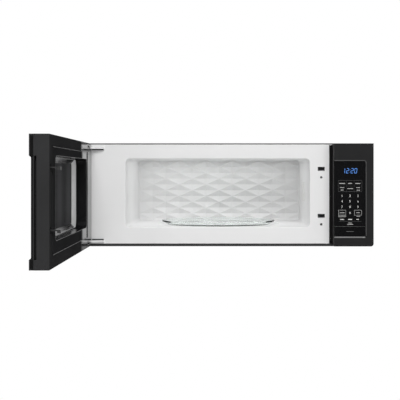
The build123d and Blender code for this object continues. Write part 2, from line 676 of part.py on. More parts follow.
def door_switches():
    """Three snap switches behind the latch bracket."""
    switches = []
    y0 = LATCH_Y + LATCH_BLOCK_D
    for z in SWITCH_HEIGHTS:
        y1 = y0 + SWITCH_D
        switch = block(LATCH_X - SWITCH_W / 2, LATCH_X + SWITCH_W / 2, y0, y1, z, z + SWITCH_H)
        tab_z = z + (SWITCH_H - TAB_T) / 2
        for x in (LATCH_X - 2 * TAB_W, LATCH_X, LATCH_X + 2 * TAB_W):
            switch += block(x - TAB_W / 2, x + TAB_W / 2, y1, y1 + TAB_L, tab_z, tab_z + TAB_T)
        switches.append(switch)
    return switches


keep("control_housing", control_housing())
keep("touch_panel", panel_sheet(TRIM_TOP, RECESS_HIGH + GLASS_LAP))
keep("lower_trim", panel_sheet(RECESS_LOW - GLASS_LAP, TRIM_TOP - SEAM))
keep("display_module", display_module())
keep("control_board", control_board())
keep("finger_strip", finger_strip())
keep("latch_block", latch_block())
keep("door_switches", Compound(door_switches()))

# Turntable
ROLLER_Z = WELL_FLOOR + FIT + ROLLER_R
TRAY_Z = ROLLER_Z + ROLLER_R + FIT
RING_OUT = RING_R
ROLLER_IN = RING_OUT + 3.0
AXLE_END = ROLLER_IN + ROLLER_W + 3.0
MOTOR_R = 24.0
MOTOR_T = 14.0
HUB_Z = WELL_FLOOR + 2.0
HUB_T = 5.0
LUG_T = 4.5
LUG_REACH = 14.0


def about_centre(solid, turns, count):
    """Copies of a piece spaced round the turntable's axis."""
    axis = Pos(CAV_XC, CAV_YC, 0)
    return [axis * Rot(0, 0, 360.0 / count * (i + turns)) * solid for i in range(count)]


def turntable_motor():
    """Flat gear motor hung under the oven floor."""
    top = WELL_FLOOR - CAVITY_SHEET
    motor = rod(CAV_XC, CAV_YC, top - 2 - MOTOR_T, MOTOR_R, MOTOR_T)
    motor += block(CAV_XC - 34, CAV_XC + 34, CAV_YC - 9, CAV_YC + 9, top - 2, top)
    motor += block(CAV_XC - 12, CAV_XC + 12, CAV_YC + MOTOR_R - 4, CAV_YC + MOTOR_R + 9, top - 14, top - 4)
    return motor - rod(CAV_XC, CAV_YC, top - 2 - MOTOR_T + 3, SHAFT_R + RUN_FIT, MOTOR_T)


def drive_coupler():
    """Shaft and three-lobed hub that turn the tray."""
    z0 = WELL_FLOOR - CAVITY_SHEET - MOTOR_T + 2
    coupler = rod(CAV_XC, CAV_YC, z0, SHAFT_R, HUB_Z - z0)
    coupler += rod(CAV_XC, CAV_YC, HUB_Z, COUPLER_R, HUB_T)
    for lobe in about_centre(block(0, LUG_REACH, -3.5, 3.5, HUB_Z + HUB_T, HUB_Z + HUB_T + LUG_T), 0, 3):
        coupler += lobe
    return coupler


def roller_ring():
    """Flat ring with three radial axles; it turns at half the speed of the tray."""
    z0 = ROLLER_Z - RING_T / 2
    ring = rod(CAV_XC, CAV_YC, z0, RING_OUT, RING_T) - rod(CAV_XC, CAV_YC, z0, RING_OUT - 8, RING_T)
    axle = rod(RING_OUT - 3, 0, ROLLER_Z, AXLE_R, AXLE_END - RING_OUT + 3, "X")
    cap = rod(AXLE_END - 1.5, 0, ROLLER_Z, AXLE_R + 1.2, 1.5, "X")
    for piece in about_centre(axle + cap, 0, ROLLER_COUNT):
        ring += piece
    return ring


def roller():
    """One wheel, bored for its axle, at the first place on the ring."""
    wheel = rod(ROLLER_IN, 0, ROLLER_Z, ROLLER_R, ROLLER_W, "X")
    wheel = fillet(wheel.edges().filter_by(GeomType.CIRCLE), 1.0)
    return wheel - rod(ROLLER_IN, 0, ROLLER_Z, AXLE_R + RUN_FIT, ROLLER_W, "X")


def glass_tray():
    """Round glass tray with a raised rim, a shallow track for the rollers and three drive lugs."""
    t = TRAY_T
    profile = Polyline((0, TRAY_Z), (TRAY_R - 16, TRAY_Z), (TRAY_R - 5, TRAY_Z + TRAY_RIM - 2),
                       (TRAY_R, TRAY_Z + TRAY_RIM), (TRAY_R, TRAY_Z + TRAY_RIM + t - 1),
                       (TRAY_R - 8, TRAY_Z + TRAY_RIM + t - 2), (TRAY_R - 19, TRAY_Z + t), (0, TRAY_Z + t),
                       (0, TRAY_Z))
    dish = revolve(Plane.XZ * make_face(profile), Axis.Z)
    tray = Pos(CAV_XC, CAV_YC, 0) * dish
    lug_z = HUB_Z + HUB_T + 1.0
    for lug in about_centre(block(7, 12, -3, 3, lug_z, TRAY_Z), 0.5, 3):
        tray += lug
    return tray


keep("turntable_motor", turntable_motor())
keep("drive_coupler", drive_coupler())
keep("roller_ring", roller_ring())
for i, wheel in enumerate(about_centre(roller(), 0, ROLLER_COUNT)):
    keep(f"roller_{i + 1}", wheel)
keep("glass_tray", glass_tray())


# Ventilation
LAMP_ROOF = 29.0
RAIL_W = 6.0
RAIL_TOP = 14.0
LENS_PIN_R = 1.2
LENS_PIN_IN = 3.0
DUCT_WALL = 1.0
SCROLL_FOOT_W = 40.0
MOTOR_FOOT_T = 4.0
MOTOR_SHAFT_R = 4.0
CHUTE_W = 50.0
DRUM_T = 2.0
MOTOR_CAN_R = 38.0
FLAP_T = 1.4
FLAP_PIN_R = 1.5
FLAP_DROP = 9.0


def grease_filter(side):
    """Aluminium frame round a thin mesh pad; it drops out of the underside."""
    xc = side * HOOD_X
    half = FILTER_W / 2
    z0, z1 = 0.3, 0.3 + FILTER_T
    frame = block(xc - half, xc + half, FILTER_Y0, FILTER_Y1, z0, z1)
    rim = FILTER_FRAME
    frame -= block(xc - half + rim, xc + half - rim, FILTER_Y0 + rim, FILTER_Y1 - rim, z0, z1)
    pad = block(xc - half + rim, xc + half - rim, FILTER_Y0 + rim, FILTER_Y1 - rim, z0 + 2, z1 - 2)
    ring = rod(xc, FILTER_Y0 + rim + 12, z0 + 1, 8, 1.2) - rod(xc, FILTER_Y0 + rim + 12, z0 + 1, 5, 1.2)
    return frame + pad + ring


def filter_rails():
    """Spring rails in the pan along the short ends of both filters."""
    rails = []
    for side in (-1, 1):
        for end in (-1, 1):
            x0 = side * HOOD_X + end * (FILTER_W / 2 + FIT)
            x1 = x0 + end * RAIL_W
            rails.append(block(min(x0, x1), max(x0, x1), FILTER_Y0 + 10, FILTER_Y1 - 10, BASE_T, RAIL_TOP))
    return rails


def lamp_housings():
    """Sheet boxes over the two lamp openings of the underside."""
    boxes = []
    for side in (-1, 1):
        xc = side * HOOD_X
        half = LAMP_W / 2 + 5
        y0, y1 = LAMP_Y0 - 4, LAMP_Y0 + LAMP_D + 5
        box = block(xc - half, xc + half, y0, y1, BASE_T, LAMP_ROOF)
        box -= block(xc - half + 1, xc + half - 1, y0 + 1, y1 - 1, BASE_T, LAMP_ROOF - 1)
        boxes.append(box)
    return boxes


def hood_lamps():
    """Light modules on the roofs of the lamp boxes."""
    lamps = []
    for side in (-1, 1):
        xc = side * HOOD_X
        yc = LAMP_Y0 + LAMP_D / 2
        lamp = block(xc - 30, xc + 30, yc - 16, yc + 16, LAMP_ROOF - 8, LAMP_ROOF - 1)
        for dx in (-18, 0, 18):
            lamp += rod(xc + dx, yc, LAMP_ROOF - 10, 5, 2)
        lamps.append(lamp)
    return lamps


def lamp_lens(side):
    """Frosted lens that swings down about two stub pins at its rear edge."""
    xc = side * HOOD_X
    half = LAMP_W / 2
    y1 = LAMP_Y0 + LAMP_D
    lens = block(xc - half, xc + half, LAMP_Y0, y1, 0.2, 0.2 + LAMP_T)
    pin_z = BASE_T + LENS_PIN_R + 0.2
    return lens + rod(xc - half - 3, y1 - LENS_PIN_IN, pin_z, LENS_PIN_R, 2 * half + 6, "X")


def scroll(y0):
    """Blower scroll: a round shell with an upward chute and an intake in each end wall."""
    outer = rod(BLOWER_X, y0, BLOWER_Z, SCROLL_R, SCROLL_L, "Y")
    x0 = BLOWER_X - SCROLL_R
    outer += block(x0, x0 + CHUTE_W, y0, y0 + SCROLL_L, BLOWER_Z, PLENUM_Z0)
    t = SCROLL_T
    inner = rod(BLOWER_X, y0 + t, BLOWER_Z, SCROLL_R - t, SCROLL_L - 2 * t, "Y")
    inner += block(x0 + t, x0 + CHUTE_W - t, y0 + t, y0 + SCROLL_L - t, BLOWER_Z, PLENUM_Z0)
    half = SCROLL_FOOT_W / 2
    foot = block(BLOWER_X - half, BLOWER_X + half, y0, y0 + SCROLL_L, BASE_T, BLOWER_Z - SCROLL_R + 8)
    shell = outer + foot - inner
    return shell - rod(BLOWER_X, y0, BLOWER_Z, INTAKE_R, SCROLL_L, "Y")


def scroll_starts():
    """Front faces of the two scrolls, with the motor between them."""
    return (BLOWER_Y0, BLOWER_Y0 + SCROLL_L + 2 * SCROLL_GAP + BLOWER_MOTOR_L)


def drum(y0):
    """Squirrel-cage wheel: two rings, a back disc and many straight blades."""
    wheel = rod(BLOWER_X, y0, BLOWER_Z, WHEEL_R, DRUM_T, "Y")
    wheel += rod(BLOWER_X, y0 + WHEEL_W - DRUM_T, BLOWER_Z, WHEEL_R, DRUM_T, "Y")
    wheel -= rod(BLOWER_X, y0, BLOWER_Z, WHEEL_R - 10, WHEEL_W, "Y")
    middle = y0 + WHEEL_W / 2
    wheel += rod(BLOWER_X, middle - 1, BLOWER_Z, WHEEL_R - 1, 2, "Y")
    wheel += rod(BLOWER_X, middle - 8, BLOWER_Z, 9, 16, "Y")
    for i in range(BLADE_COUNT):
        turn = Pos(BLOWER_X, 0, BLOWER_Z) * Rot(0, 360.0 / BLADE_COUNT * i, 0)
        wheel += turn * block(WHEEL_R - 9, WHEEL_R - 1, y0, y0 + WHEEL_W, -0.6, 0.6)
    return wheel


def blower_wheels():
    """Both drums on the motor's one shaft."""
    starts = [y + (SCROLL_L - WHEEL_W) / 2 for y in scroll_starts()]
    end = starts[1] + WHEEL_W
    shaft = rod(BLOWER_X, starts[0], BLOWER_Z, MOTOR_SHAFT_R, end - starts[0], "Y")
    return drum(starts[0]) + drum(starts[1]) + shaft


def blower_motor():
    """Motor can between the scrolls, on a foot that stands on the pan."""
    y0 = scroll_starts()[0] + SCROLL_L + SCROLL_GAP
    can = rod(BLOWER_X, y0, BLOWER_Z, MOTOR_CAN_R, BLOWER_MOTOR_L, "Y")
    for y in (y0, y0 + BLOWER_MOTOR_L - MOTOR_FOOT_T):
        can += block(BLOWER_X - BLOWER_FOOT, BLOWER_X + BLOWER_FOOT, y, y + MOTOR_FOOT_T, BASE_T, BLOWER_Z)
    return can - rod(BLOWER_X, y0, BLOWER_Z, MOTOR_SHAFT_R + RUN_FIT, BLOWER_MOTOR_L, "Y")


def exhaust_duct():
    """Flat duct under the top of the case, from the two chutes to the damper."""
    t = DUCT_WALL
    x0, x1 = LEFT + SHEET + FIT + 1, DAMPER_W / 2 + 8
    arm_x1 = CAV_X0 - CAVITY_SHEET - 2
    y0, y1 = BLOWER_Y0 - 4, REAR - SHEET - 1
    z0, z1 = PLENUM_Z0, CASE_H - SHEET - FIT
    duct = block(x0, x1, DAMPER_Y0 - 6, y1, z0, z1) + block(x0, arm_x1, y0, y1, z0, z1)
    duct -= block(x0 + t, x1 - t, DAMPER_Y0 - 6 + t, y1 - t, z0 + t, z1)
    duct -= block(x0 + t, arm_x1 - t, y0 + t, y1 - t, z0 + t, z1)
    xs = BLOWER_X - SCROLL_R + SCROLL_T
    for y in scroll_starts():
        duct -= block(xs, xs + CHUTE_W - 2 * SCROLL_T, y + SCROLL_T, y + SCROLL_L - SCROLL_T, z0, z0 + t)
    return duct


def damper_frame():
    """Collar of the exhaust opening, with a stop for the flap."""
    half = DAMPER_W / 2 - FIT
    y0, y1 = DAMPER_Y0 + FIT, DAMPER_Y1 - FIT
    z0 = CASE_H - FLAP_DROP - 8
    frame = block(-half, half, y0, y1, z0, CASE_H)
    frame -= block(-half + 2, half - 2, y0 + 2, y1 - 2, z0, CASE_H)
    stop = block(-half + 2, half - 2, y1 - 6, y1 - 2, z0, CASE_H - FLAP_DROP - FLAP_T / 2 - FIT)
    return frame + stop - flap_pin(FLAP_PIN_R + RUN_FIT)


def flap_pin(radius):
    """Pin line of the exhaust flap, along its front edge."""
    half = DAMPER_W / 2 - FIT
    return rod(-half + 0.6, DAMPER_Y0 + 6, CASE_H - FLAP_DROP, radius, 2 * half - 1.2, "X")


def damper_flap():
    """Light flap that the exhaust lifts."""
    half = DAMPER_W / 2 - FIT - 2.6
    z = CASE_H - FLAP_DROP
    return block(-half, half, DAMPER_Y0 + 6, DAMPER_Y1 - 4, z - FLAP_T / 2, z + FLAP_T / 2) + flap_pin(FLAP_PIN_R)


keep("grease_filter_left", grease_filter(-1))
keep("grease_filter_right", grease_filter(1))
keep("filter_rails", Compound(filter_rails()))
keep("lamp_housings", Compound(lamp_housings()))
keep("hood_lamps", Compound(hood_lamps()))
keep("lamp_lens_left", lamp_lens(-1))
keep("lamp_lens_right", lamp_lens(1))
keep("blower_scrolls", Compound([scroll(y) for y in scroll_starts()]))
keep("blower_wheels", blower_wheels())
keep("blower_motor", blower_motor())
keep("exhaust_duct", exhaust_duct())
keep("damper_frame", damper_frame())
keep("damper_flap", damper_flap())

# Power parts, in the bay right of the oven
BAY_X0 = CAV_X1 + CAVITY_SHEET
GUIDE_D = 38.0
GUIDE_T = 1.5
TUBE_W = 84.0
TUBE_D = 80.0
TUBE_H = 72.0
FIN_COUNT = 6
ANTENNA_R = 8.0
CORE_W = 96.0
CORE_D = 66.0
CORE_TOP = 78.0
CORE_WINDOW_W = 18.0
CORE_WINDOW_LOW = 16.0
CORE_FOOT = 4.0
CORE_FOOT_T = 2.0
CORE_X0 = BAY_X0 + 8.0
CORE_Y0 = REAR - CORE_D - 70.3
COIL_T = 21.0
COIL_GAP = 2.0
COIL_PLAY = 1.0
COIL_REACH = 13.0
CAN_W = 30.0
CAN_L = 45.0
CAN_TOP = 96.0
TERMINAL_H = 10.0
TERMINAL_W = 6.0
TERMINAL_T = 1.0
FAN_X = BAY_X0 + 72.0
FAN_Z = CAV_TOP - 53.0
FAN_Y = REAR - SHEET - 58.0
FAN_BLADES = 5
OVEN_LAMP_W = 40.0
OVEN_LAMP_D = 28.0
OVEN_LAMP_H = 20.0
LAMP_FROM_WALL = 70.0
LAMP_FORWARD = 35.0
BAFFLE = 56.0
BAFFLE_T = 2.0
BAFFLE_LEG = 8.0
FAN_MOTOR_W = 52.0
FAN_MOTOR_H = 44.0
FAN_MOTOR_D = 30.0
SPINDLE_R = 2.5
SPINDLE_L = 26.0
FAN_HUB_R = 13.0
FAN_HUB_T = 14.0
FAN_PITCH = 28.0


def wave_cover():
    """Thin mica sheet over the feed window inside the oven."""
    y0, y1 = FEED_Y - FEED_W / 2 - 5, FEED_Y + FEED_W / 2 + 5
    return block(CAV_X1 - 0.6, CAV_X1, y0, y1, FEED_Z - FEED_H / 2 - 5, FEED_Z + FEED_H / 2 + 5)


def wave_guide():
    """Short rectangular duct from the magnetron to the feed window."""
    t = GUIDE_T
    y0, y1 = FEED_Y - FEED_W / 2, FEED_Y + FEED_W / 2
    z0, z1 = FEED_Z - FEED_H / 2, FEED_Z + FEED_H / 2
    guide = block(BAY_X0, BAY_X0 + GUIDE_D, y0 - t, y1 + t, z0 - t, z1 + t)
    guide -= block(BAY_X0, BAY_X0 + GUIDE_D - t, y0, y1, z0, z1)
    return guide - rod(BAY_X0 + GUIDE_D - t, FEED_Y, FEED_Z, ANTENNA_R + 1, t, "X")


def magnetron():
    """Boxed tube with cooling fins, antenna and filter box."""
    x0 = BAY_X0 + GUIDE_D
    y0, z0 = FEED_Y - TUBE_D / 2, FEED_Z - TUBE_H / 2
    body = rod(x0 + 4, FEED_Y, FEED_Z, 20, TUBE_W - 8, "X")
    for x in (x0, x0 + TUBE_W - 24):
        body += block(x, x + 2, y0, y0 + TUBE_D, z0, z0 + TUBE_H)
    body += block(x0, x0 + TUBE_W - 22, y0, y0 + 1.5, z0, z0 + TUBE_H)
    body += block(x0 + TUBE_W - 22, x0 + TUBE_W, y0 + 12, y0 + TUBE_D - 12, z0 + 8, z0 + TUBE_H - 8)
    for i in range(FIN_COUNT):
        x = x0 + 10 + 7 * i
        body += block(x, x + 0.8, y0, y0 + TUBE_D, z0 + 4, z0 + TUBE_H - 4)
    return body + rod(x0 - 22, FEED_Y, FEED_Z, ANTENNA_R, 26, "X")


def transformer():
    """Laminated core with two windings, on a base plate."""
    x0, y0 = CORE_X0, CORE_Y0
    core = block(x0, x0 + CORE_W, y0, y0 + CORE_D, BASE_T + CORE_FOOT_T, CORE_TOP)
    for x in core_windows():
        core -= block(x, x + CORE_WINDOW_W, y0, y0 + CORE_D, CORE_WINDOW_LOW, CORE_TOP - CORE_WINDOW_LOW)
    foot = CORE_FOOT
    plate = block(x0 - foot, x0 + CORE_W + foot, y0 - foot, y0 + CORE_D + foot, BASE_T,
                  BASE_T + CORE_FOOT_T)
    return core + plate


def core_windows():
    """Left edges of the core's two windows, one each side of its middle leg."""
    return (CORE_X0 + CORE_WINDOW_W, CORE_X0 + CORE_W - 2 * CORE_WINDOW_W)


def windings():
    """Copper windings that fill the core's two windows and bulge at its ends."""
    coils = []
    left, right = core_windows()
    x0, x1 = left + COIL_PLAY, right + CORE_WINDOW_W - COIL_PLAY
    y0, y1 = CORE_Y0 - COIL_REACH, CORE_Y0 + CORE_D + COIL_REACH
    for i in range(2):
        z0 = CORE_WINDOW_LOW + COIL_PLAY + i * (COIL_T + COIL_GAP)
        bulge = rounded(x0, x1, y0, y1, z0, z0 + COIL_T, COIL_T / 5)
        leg = block(left + CORE_WINDOW_W, right, CORE_Y0, CORE_Y0 + CORE_D, z0, z0 + COIL_T)
        coils.append(bulge - leg)
    return coils


def capacitor():
    """Oval can with two terminals, standing on the pan beside the core."""
    x0 = CORE_X0 + CORE_W + 2.5 * CORE_FOOT
    y0 = CORE_Y0 + CAN_W / 2
    can = block(x0, x0 + CAN_W, y0, y0 + CAN_L, BASE_T, CAN_TOP)
    for y in (y0, y0 + CAN_L):
        can += rod(x0 + CAN_W / 2, y, BASE_T, CAN_W / 2, CAN_TOP - BASE_T)
    xc, yc = x0 + CAN_W / 2, y0 + CAN_L / 2
    for y in (yc - CAN_L / 4, yc + CAN_L / 4):
        half_w, half_t = TERMINAL_W / 2, TERMINAL_T / 2
        can += block(xc - half_w, xc + half_w, y - half_t, y + half_t, CAN_TOP, CAN_TOP + TERMINAL_H)
    return can


def fan_housing():
    """Square baffle with a round opening on four legs that stand on the back."""
    y0 = FAN_Y
    plate = block(FAN_X - BAFFLE, FAN_X + BAFFLE, y0, y0 + BAFFLE_T, FAN_Z - BAFFLE, FAN_Z + BAFFLE)
    plate -= rod(FAN_X, y0, FAN_Z, FAN_R + 3, BAFFLE_T, "Y")
    half = BAFFLE_LEG / 2
    for dx in (-1, 1):
        for dz in (-1, 1):
            x, z = FAN_X + dx * (BAFFLE - half - 1), FAN_Z + dz * (BAFFLE - half - 1)
            plate += block(x - half, x + half, y0, REAR - SHEET, z - half, z + half)
    return plate


def fan_motor():
    """Shaded-pole motor on the back, with its spindle bore open to the front."""
    y0, y1 = REAR - SHEET - FAN_MOTOR_D, REAR - SHEET
    half_w, half_h = FAN_MOTOR_W / 2, FAN_MOTOR_H / 2
    motor = block(FAN_X - half_w, FAN_X + half_w, y0, y1, FAN_Z - half_h, FAN_Z + half_h)
    return motor - rod(FAN_X, y0, FAN_Z, SPINDLE_R + RUN_FIT, SPINDLE_L - 2, "Y")


def fan_blade():
    """Hub with pitched blades and a spindle that runs into the motor."""
    y1 = REAR - SHEET - FAN_MOTOR_D - 4
    fan = rod(FAN_X, y1 - FAN_HUB_T, FAN_Z, FAN_HUB_R, FAN_HUB_T, "Y")
    fan += rod(FAN_X, y1 - 2, FAN_Z, SPINDLE_R, SPINDLE_L, "Y")
    middle = y1 - FAN_HUB_T / 2
    for i in range(FAN_BLADES):
        turn = Pos(FAN_X, middle, FAN_Z) * Rot(0, 360.0 / FAN_BLADES * i, 0) * Rot(FAN_PITCH, 0, 0)
        fan += turn * block(FAN_HUB_R - 4, FAN_R, -0.8, 0.8, -FAN_HUB_R, FAN_HUB_R)
    return fan


def cord_gland():
    """Bush in the top of the case where the supply cord leaves."""
    z0 = CASE_H - 9
    gland = rod(GLAND_X, GLAND_Y, z0, GLAND_R, 9) + rod(GLAND_X, GLAND_Y, z0, GLAND_R + 3, 9 - SHEET)
    return gland - rod(GLAND_X, GLAND_Y, z0, 5, 9)


def cavity_lamp():
    """Small lamp on the oven's roof outside, above its light holes."""
    x, y = CAV_X1 - LAMP_FROM_WALL, CAV_YC - LAMP_FORWARD
    top = CAV_TOP + CAVITY_SHEET
    half_w, half_d = OVEN_LAMP_W / 2, OVEN_LAMP_D / 2
    box = block(x - half_w, x + half_w, y - half_d, y + half_d, top, top + OVEN_LAMP_H)
    return box + rod(x, y, top + OVEN_LAMP_H, OVEN_LAMP_D / 3, OVEN_LAMP_D / 4)


keep("wave_cover", wave_cover())
keep("wave_guide", wave_guide())
keep("magnetron", magnetron())
keep("transformer_core", transformer())
keep("transformer_windings", Compound(windings()))
keep("capacitor", capacitor())
keep("fan_housing", fan_housing())
keep("fan_motor", fan_motor())
keep("fan_blade", fan_blade())
keep("cord_gland", cord_gland())
keep("cavity_lamp", cavity_lamp())


os.makedirs("parts", exist_ok=True)
for name, solid in PARTS.items():
    export_step(solid, f"parts/{name}.step")
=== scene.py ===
import bpy
import bmesh
import json
import math
from mathutils import Matrix, Vector

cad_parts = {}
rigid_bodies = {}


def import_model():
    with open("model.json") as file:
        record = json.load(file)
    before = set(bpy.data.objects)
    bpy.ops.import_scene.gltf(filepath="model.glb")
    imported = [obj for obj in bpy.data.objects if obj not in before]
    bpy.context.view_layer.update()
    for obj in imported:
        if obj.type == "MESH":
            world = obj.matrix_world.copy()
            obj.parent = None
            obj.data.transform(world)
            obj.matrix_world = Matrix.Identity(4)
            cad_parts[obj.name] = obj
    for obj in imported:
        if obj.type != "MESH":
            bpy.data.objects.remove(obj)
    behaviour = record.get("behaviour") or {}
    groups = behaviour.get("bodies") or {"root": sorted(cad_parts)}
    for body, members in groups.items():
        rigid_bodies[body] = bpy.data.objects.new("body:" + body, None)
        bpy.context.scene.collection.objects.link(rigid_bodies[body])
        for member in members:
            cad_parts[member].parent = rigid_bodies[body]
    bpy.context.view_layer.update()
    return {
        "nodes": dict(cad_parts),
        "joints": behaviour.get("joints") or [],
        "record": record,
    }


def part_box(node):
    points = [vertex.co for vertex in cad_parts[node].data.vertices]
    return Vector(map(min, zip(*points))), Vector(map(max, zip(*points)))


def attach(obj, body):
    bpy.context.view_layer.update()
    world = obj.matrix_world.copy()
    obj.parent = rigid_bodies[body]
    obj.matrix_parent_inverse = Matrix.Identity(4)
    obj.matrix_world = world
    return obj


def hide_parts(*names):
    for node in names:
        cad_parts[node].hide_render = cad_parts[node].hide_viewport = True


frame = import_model()

# Lengths are in metres unless they say otherwise. They come from the frame where a piece has to fit a node
MM = 0.001
NODES = frame["nodes"]
BODY_OF = {name: body for body, names in frame["record"]["behaviour"]["bodies"].items() for name in names}
SLOT_OF = {row["node"]: row["material_slot"] for row in frame["record"]["subparts"]}

# The photograph's camera: a long lens level with the oven, a little right of its middle
FOCAL_PX = 985.0
IMAGE_PX = 400.0
CENTRE_PX = (229.8, 173.0)
SENSOR_MM = 36.0
FACE_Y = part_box("front_frame")[0][1]
CASE_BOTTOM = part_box("base_pan")[0][2]
CAMERA_X = 21.6 * MM
CAMERA_HEIGHT = 185.3 * MM
CAMERA_TO_FACE = 2493.0 * MM


def span(name, axis):
    """Lowest and highest value of a node along an axis, 0 to 2."""
    low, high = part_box(name)
    return low[axis], high[axis]


# Finishes. The open door's clear coat grows along Y towards the hinge, and along X towards its inner side
HINGE_POLISH = (-0.640, -0.606)
INNER_SIDE = (-0.345, -0.340)
COAT_ROUGHNESS = 0.1
COAT_IOR = 1.9
# Noise values between which the roughness goes from its lowest to its highest
NOISE_RANGE = (0.3, 0.7)


class Finish:
    """A procedural material: a principled shader with noise in its colour, roughness and bump."""

    def __init__(self, name, colour, roughness, metallic=0.0, specular=0.5):
        self.slot = name
        self.material = bpy.data.materials.new(name + "_finish")
        self.material.use_nodes = True
        self.tree = self.material.node_tree
        self.shader = self.tree.nodes["Principled BSDF"]
        self.colour = colour
        self.roughness = roughness
        self.set("Base Color", (*colour, 1.0))
        self.set("Roughness", roughness)
        self.set("Metallic", metallic)
        self.set("Specular IOR Level", specular)
        self.place = self.tree.nodes.new("ShaderNodeTexCoord").outputs["Object"]
        self.bump_chain = None

    def set(self, socket, value):
        """Sets a constant on the shader; returns the finish, so that calls chain."""
        self.shader.inputs[socket].default_value = value
        return self

    def node(self, kind, **inputs):
        """A new shader node with some of its inputs set."""
        made = self.tree.nodes.new(kind)
        for key, value in inputs.items():
            made.inputs[key.replace("_", " ")].default_value = value
        return made

    def link(self, output, target):
        """Joins an output to an input."""
        self.tree.links.new(output, target)

    def stretched(self, scale):
        """Object coordinates with their own scale on each axis."""
        mapping = self.node("ShaderNodeMapping")
        mapping.inputs["Scale"].default_value = scale
        self.link(self.place, mapping.inputs["Vector"])
        return mapping.outputs["Vector"]

    def noise(self, scale, detail=4.0, place=None):
        """Output of a noise over the object's coordinates, or over others."""
        made = self.node("ShaderNodeTexNoise", Scale=scale, Detail=detail)
        self.link(place or self.place, made.inputs["Vector"])
        return made.outputs["Fac"]

    def mottled(self, other, scale, low=0.35, high=0.65, place=None):
        """Base colour wanders between the finish's colour and another one."""
        ramp = self.node("ShaderNodeValToRGB")
        ramp.color_ramp.elements[0].position = low
        ramp.color_ramp.elements[0].color = (*self.colour, 1.0)
        ramp.color_ramp.elements[1].position = high
        ramp.color_ramp.elements[1].color = (*other, 1.0)
        self.link(self.noise(scale, place=place), ramp.inputs["Fac"])
        self.link(ramp.outputs["Color"], self.shader.inputs["Base Color"])
        return self

    def uneven(self, spread, scale, place=None):
        """Roughness wanders by a spread to each side."""
        scaled = self.node("ShaderNodeMapRange")
        scaled.inputs["From Min"].default_value, scaled.inputs["From Max"].default_value = NOISE_RANGE
        scaled.inputs["To Min"].default_value = max(self.roughness - spread, 0.0)
        scaled.inputs["To Max"].default_value = self.roughness + spread
        self.link(self.noise(scale, place=place), scaled.inputs["Value"])
        self.link(scaled.outputs["Result"], self.shader.inputs["Roughness"])
        return self

    def growing_coat(self):
        """Clear coat on the door's inner side that grows towards the hinge."""
        axes = self.node("ShaderNodeSeparateXYZ")
        self.link(self.place, axes.inputs["Vector"])
        product = self.node("ShaderNodeMath")
        product.operation = "MULTIPLY"
        for index, (axis, low, high) in enumerate((("Y", *HINGE_POLISH), ("X", *INNER_SIDE))):
            scaled = self.node("ShaderNodeMapRange")
            scaled.inputs["From Min"].default_value = low
            scaled.inputs["From Max"].default_value = high
            self.link(axes.outputs[axis], scaled.inputs["Value"])
            self.link(scaled.outputs["Result"], product.inputs[index])
        self.link(product.outputs[0], self.shader.inputs["Coat Weight"])
        return self.set("Coat Roughness", COAT_ROUGHNESS).set("Coat IOR", COAT_IOR)

    def bump(self, height, strength, distance):
        """Adds a bump from a height output; bumps chain."""
        made = self.node("ShaderNodeBump", Strength=strength, Distance=distance)
        self.link(height, made.inputs["Height"])
        if self.bump_chain:
            self.link(self.bump_chain, made.inputs["Normal"])
        self.bump_chain = made.outputs["Normal"]
        self.link(self.bump_chain, self.shader.inputs["Normal"])
        return self

    def grain(self, scale, strength, distance=0.0002, place=None):
        """Adds a bump of noise."""
        return self.bump(self.noise(scale, place=place), strength, distance)


def black_paint():
    """Satin powder coat with a fine ripple."""
    made = Finish("black_paint", (0.014, 0.014, 0.015), 0.38)
    return made.mottled((0.019, 0.019, 0.02), 6.0).uneven(0.05, 14.0).grain(900.0, 0.12, 0.0001)


def zinc_steel():
    """Bright galvanised sheet with its crystal flakes."""
    made = Finish("zinc_steel", (0.52, 0.54, 0.56), 0.34, metallic=1.0)
    flakes = made.node("ShaderNodeTexVoronoi", Scale=70.0)
    made.link(made.place, flakes.inputs["Vector"])
    ramp = made.node("ShaderNodeValToRGB")
    ramp.color_ramp.elements[0].color = (0.46, 0.48, 0.50, 1.0)
    ramp.color_ramp.elements[1].color = (0.66, 0.68, 0.70, 1.0)
    made.link(flakes.outputs["Color"], ramp.inputs["Fac"])
    made.link(ramp.outputs["Color"], made.shader.inputs["Base Color"])
    return made.uneven(0.08, 30.0).grain(240.0, 0.05)


def white_enamel():
    """Smooth baked enamel with a faint ripple."""
    made = Finish("white_enamel", (0.80, 0.80, 0.80), 0.34)
    return made.mottled((0.775, 0.775, 0.775), 5.0).uneven(0.04, 9.0).grain(160.0, 0.06, 0.0001)


def lightened_oven_enamel():
    """The oven's white enamel made brighter than the same enamel on the front: painted light standing in
    for more light inside the oven.
    """
    made = Finish("lightened_oven_enamel", (0.865, 0.865, 0.865), 0.38)
    return made.mottled((0.845, 0.845, 0.845), 5.0).uneven(0.04, 9.0).grain(160.0, 0.06, 0.0001)


def door_black():
    """Moulded black door frame, dull with a fine texture, polished towards the hinge."""
    made = Finish("door_black", (0.029, 0.029, 0.0295), 0.5, specular=0.0)
    made.mottled((0.034, 0.034, 0.035), 8.0).uneven(0.05, 20.0).grain(1400.0, 0.15, 0.00006)
    return made.growing_coat()


def inner_black():
    """Inner cover of the door, dull black, polished towards the hinge."""
    made = Finish("inner_black", (0.021, 0.021, 0.0215), 0.5, specular=0.0)
    made.mottled((0.026, 0.026, 0.027), 7.0).uneven(0.05, 16.0).grain(700.0, 0.08, 0.00006)
    return made.growing_coat()


def panel_black():
    """Moulded housing of the controls, dull black."""
    made = Finish("panel_black", (0.0105, 0.0105, 0.011), 0.42, specular=0.14)
    return made.mottled((0.013, 0.013, 0.0135), 8.0).uneven(0.05, 20.0).grain(1400.0, 0.15, 0.00006)


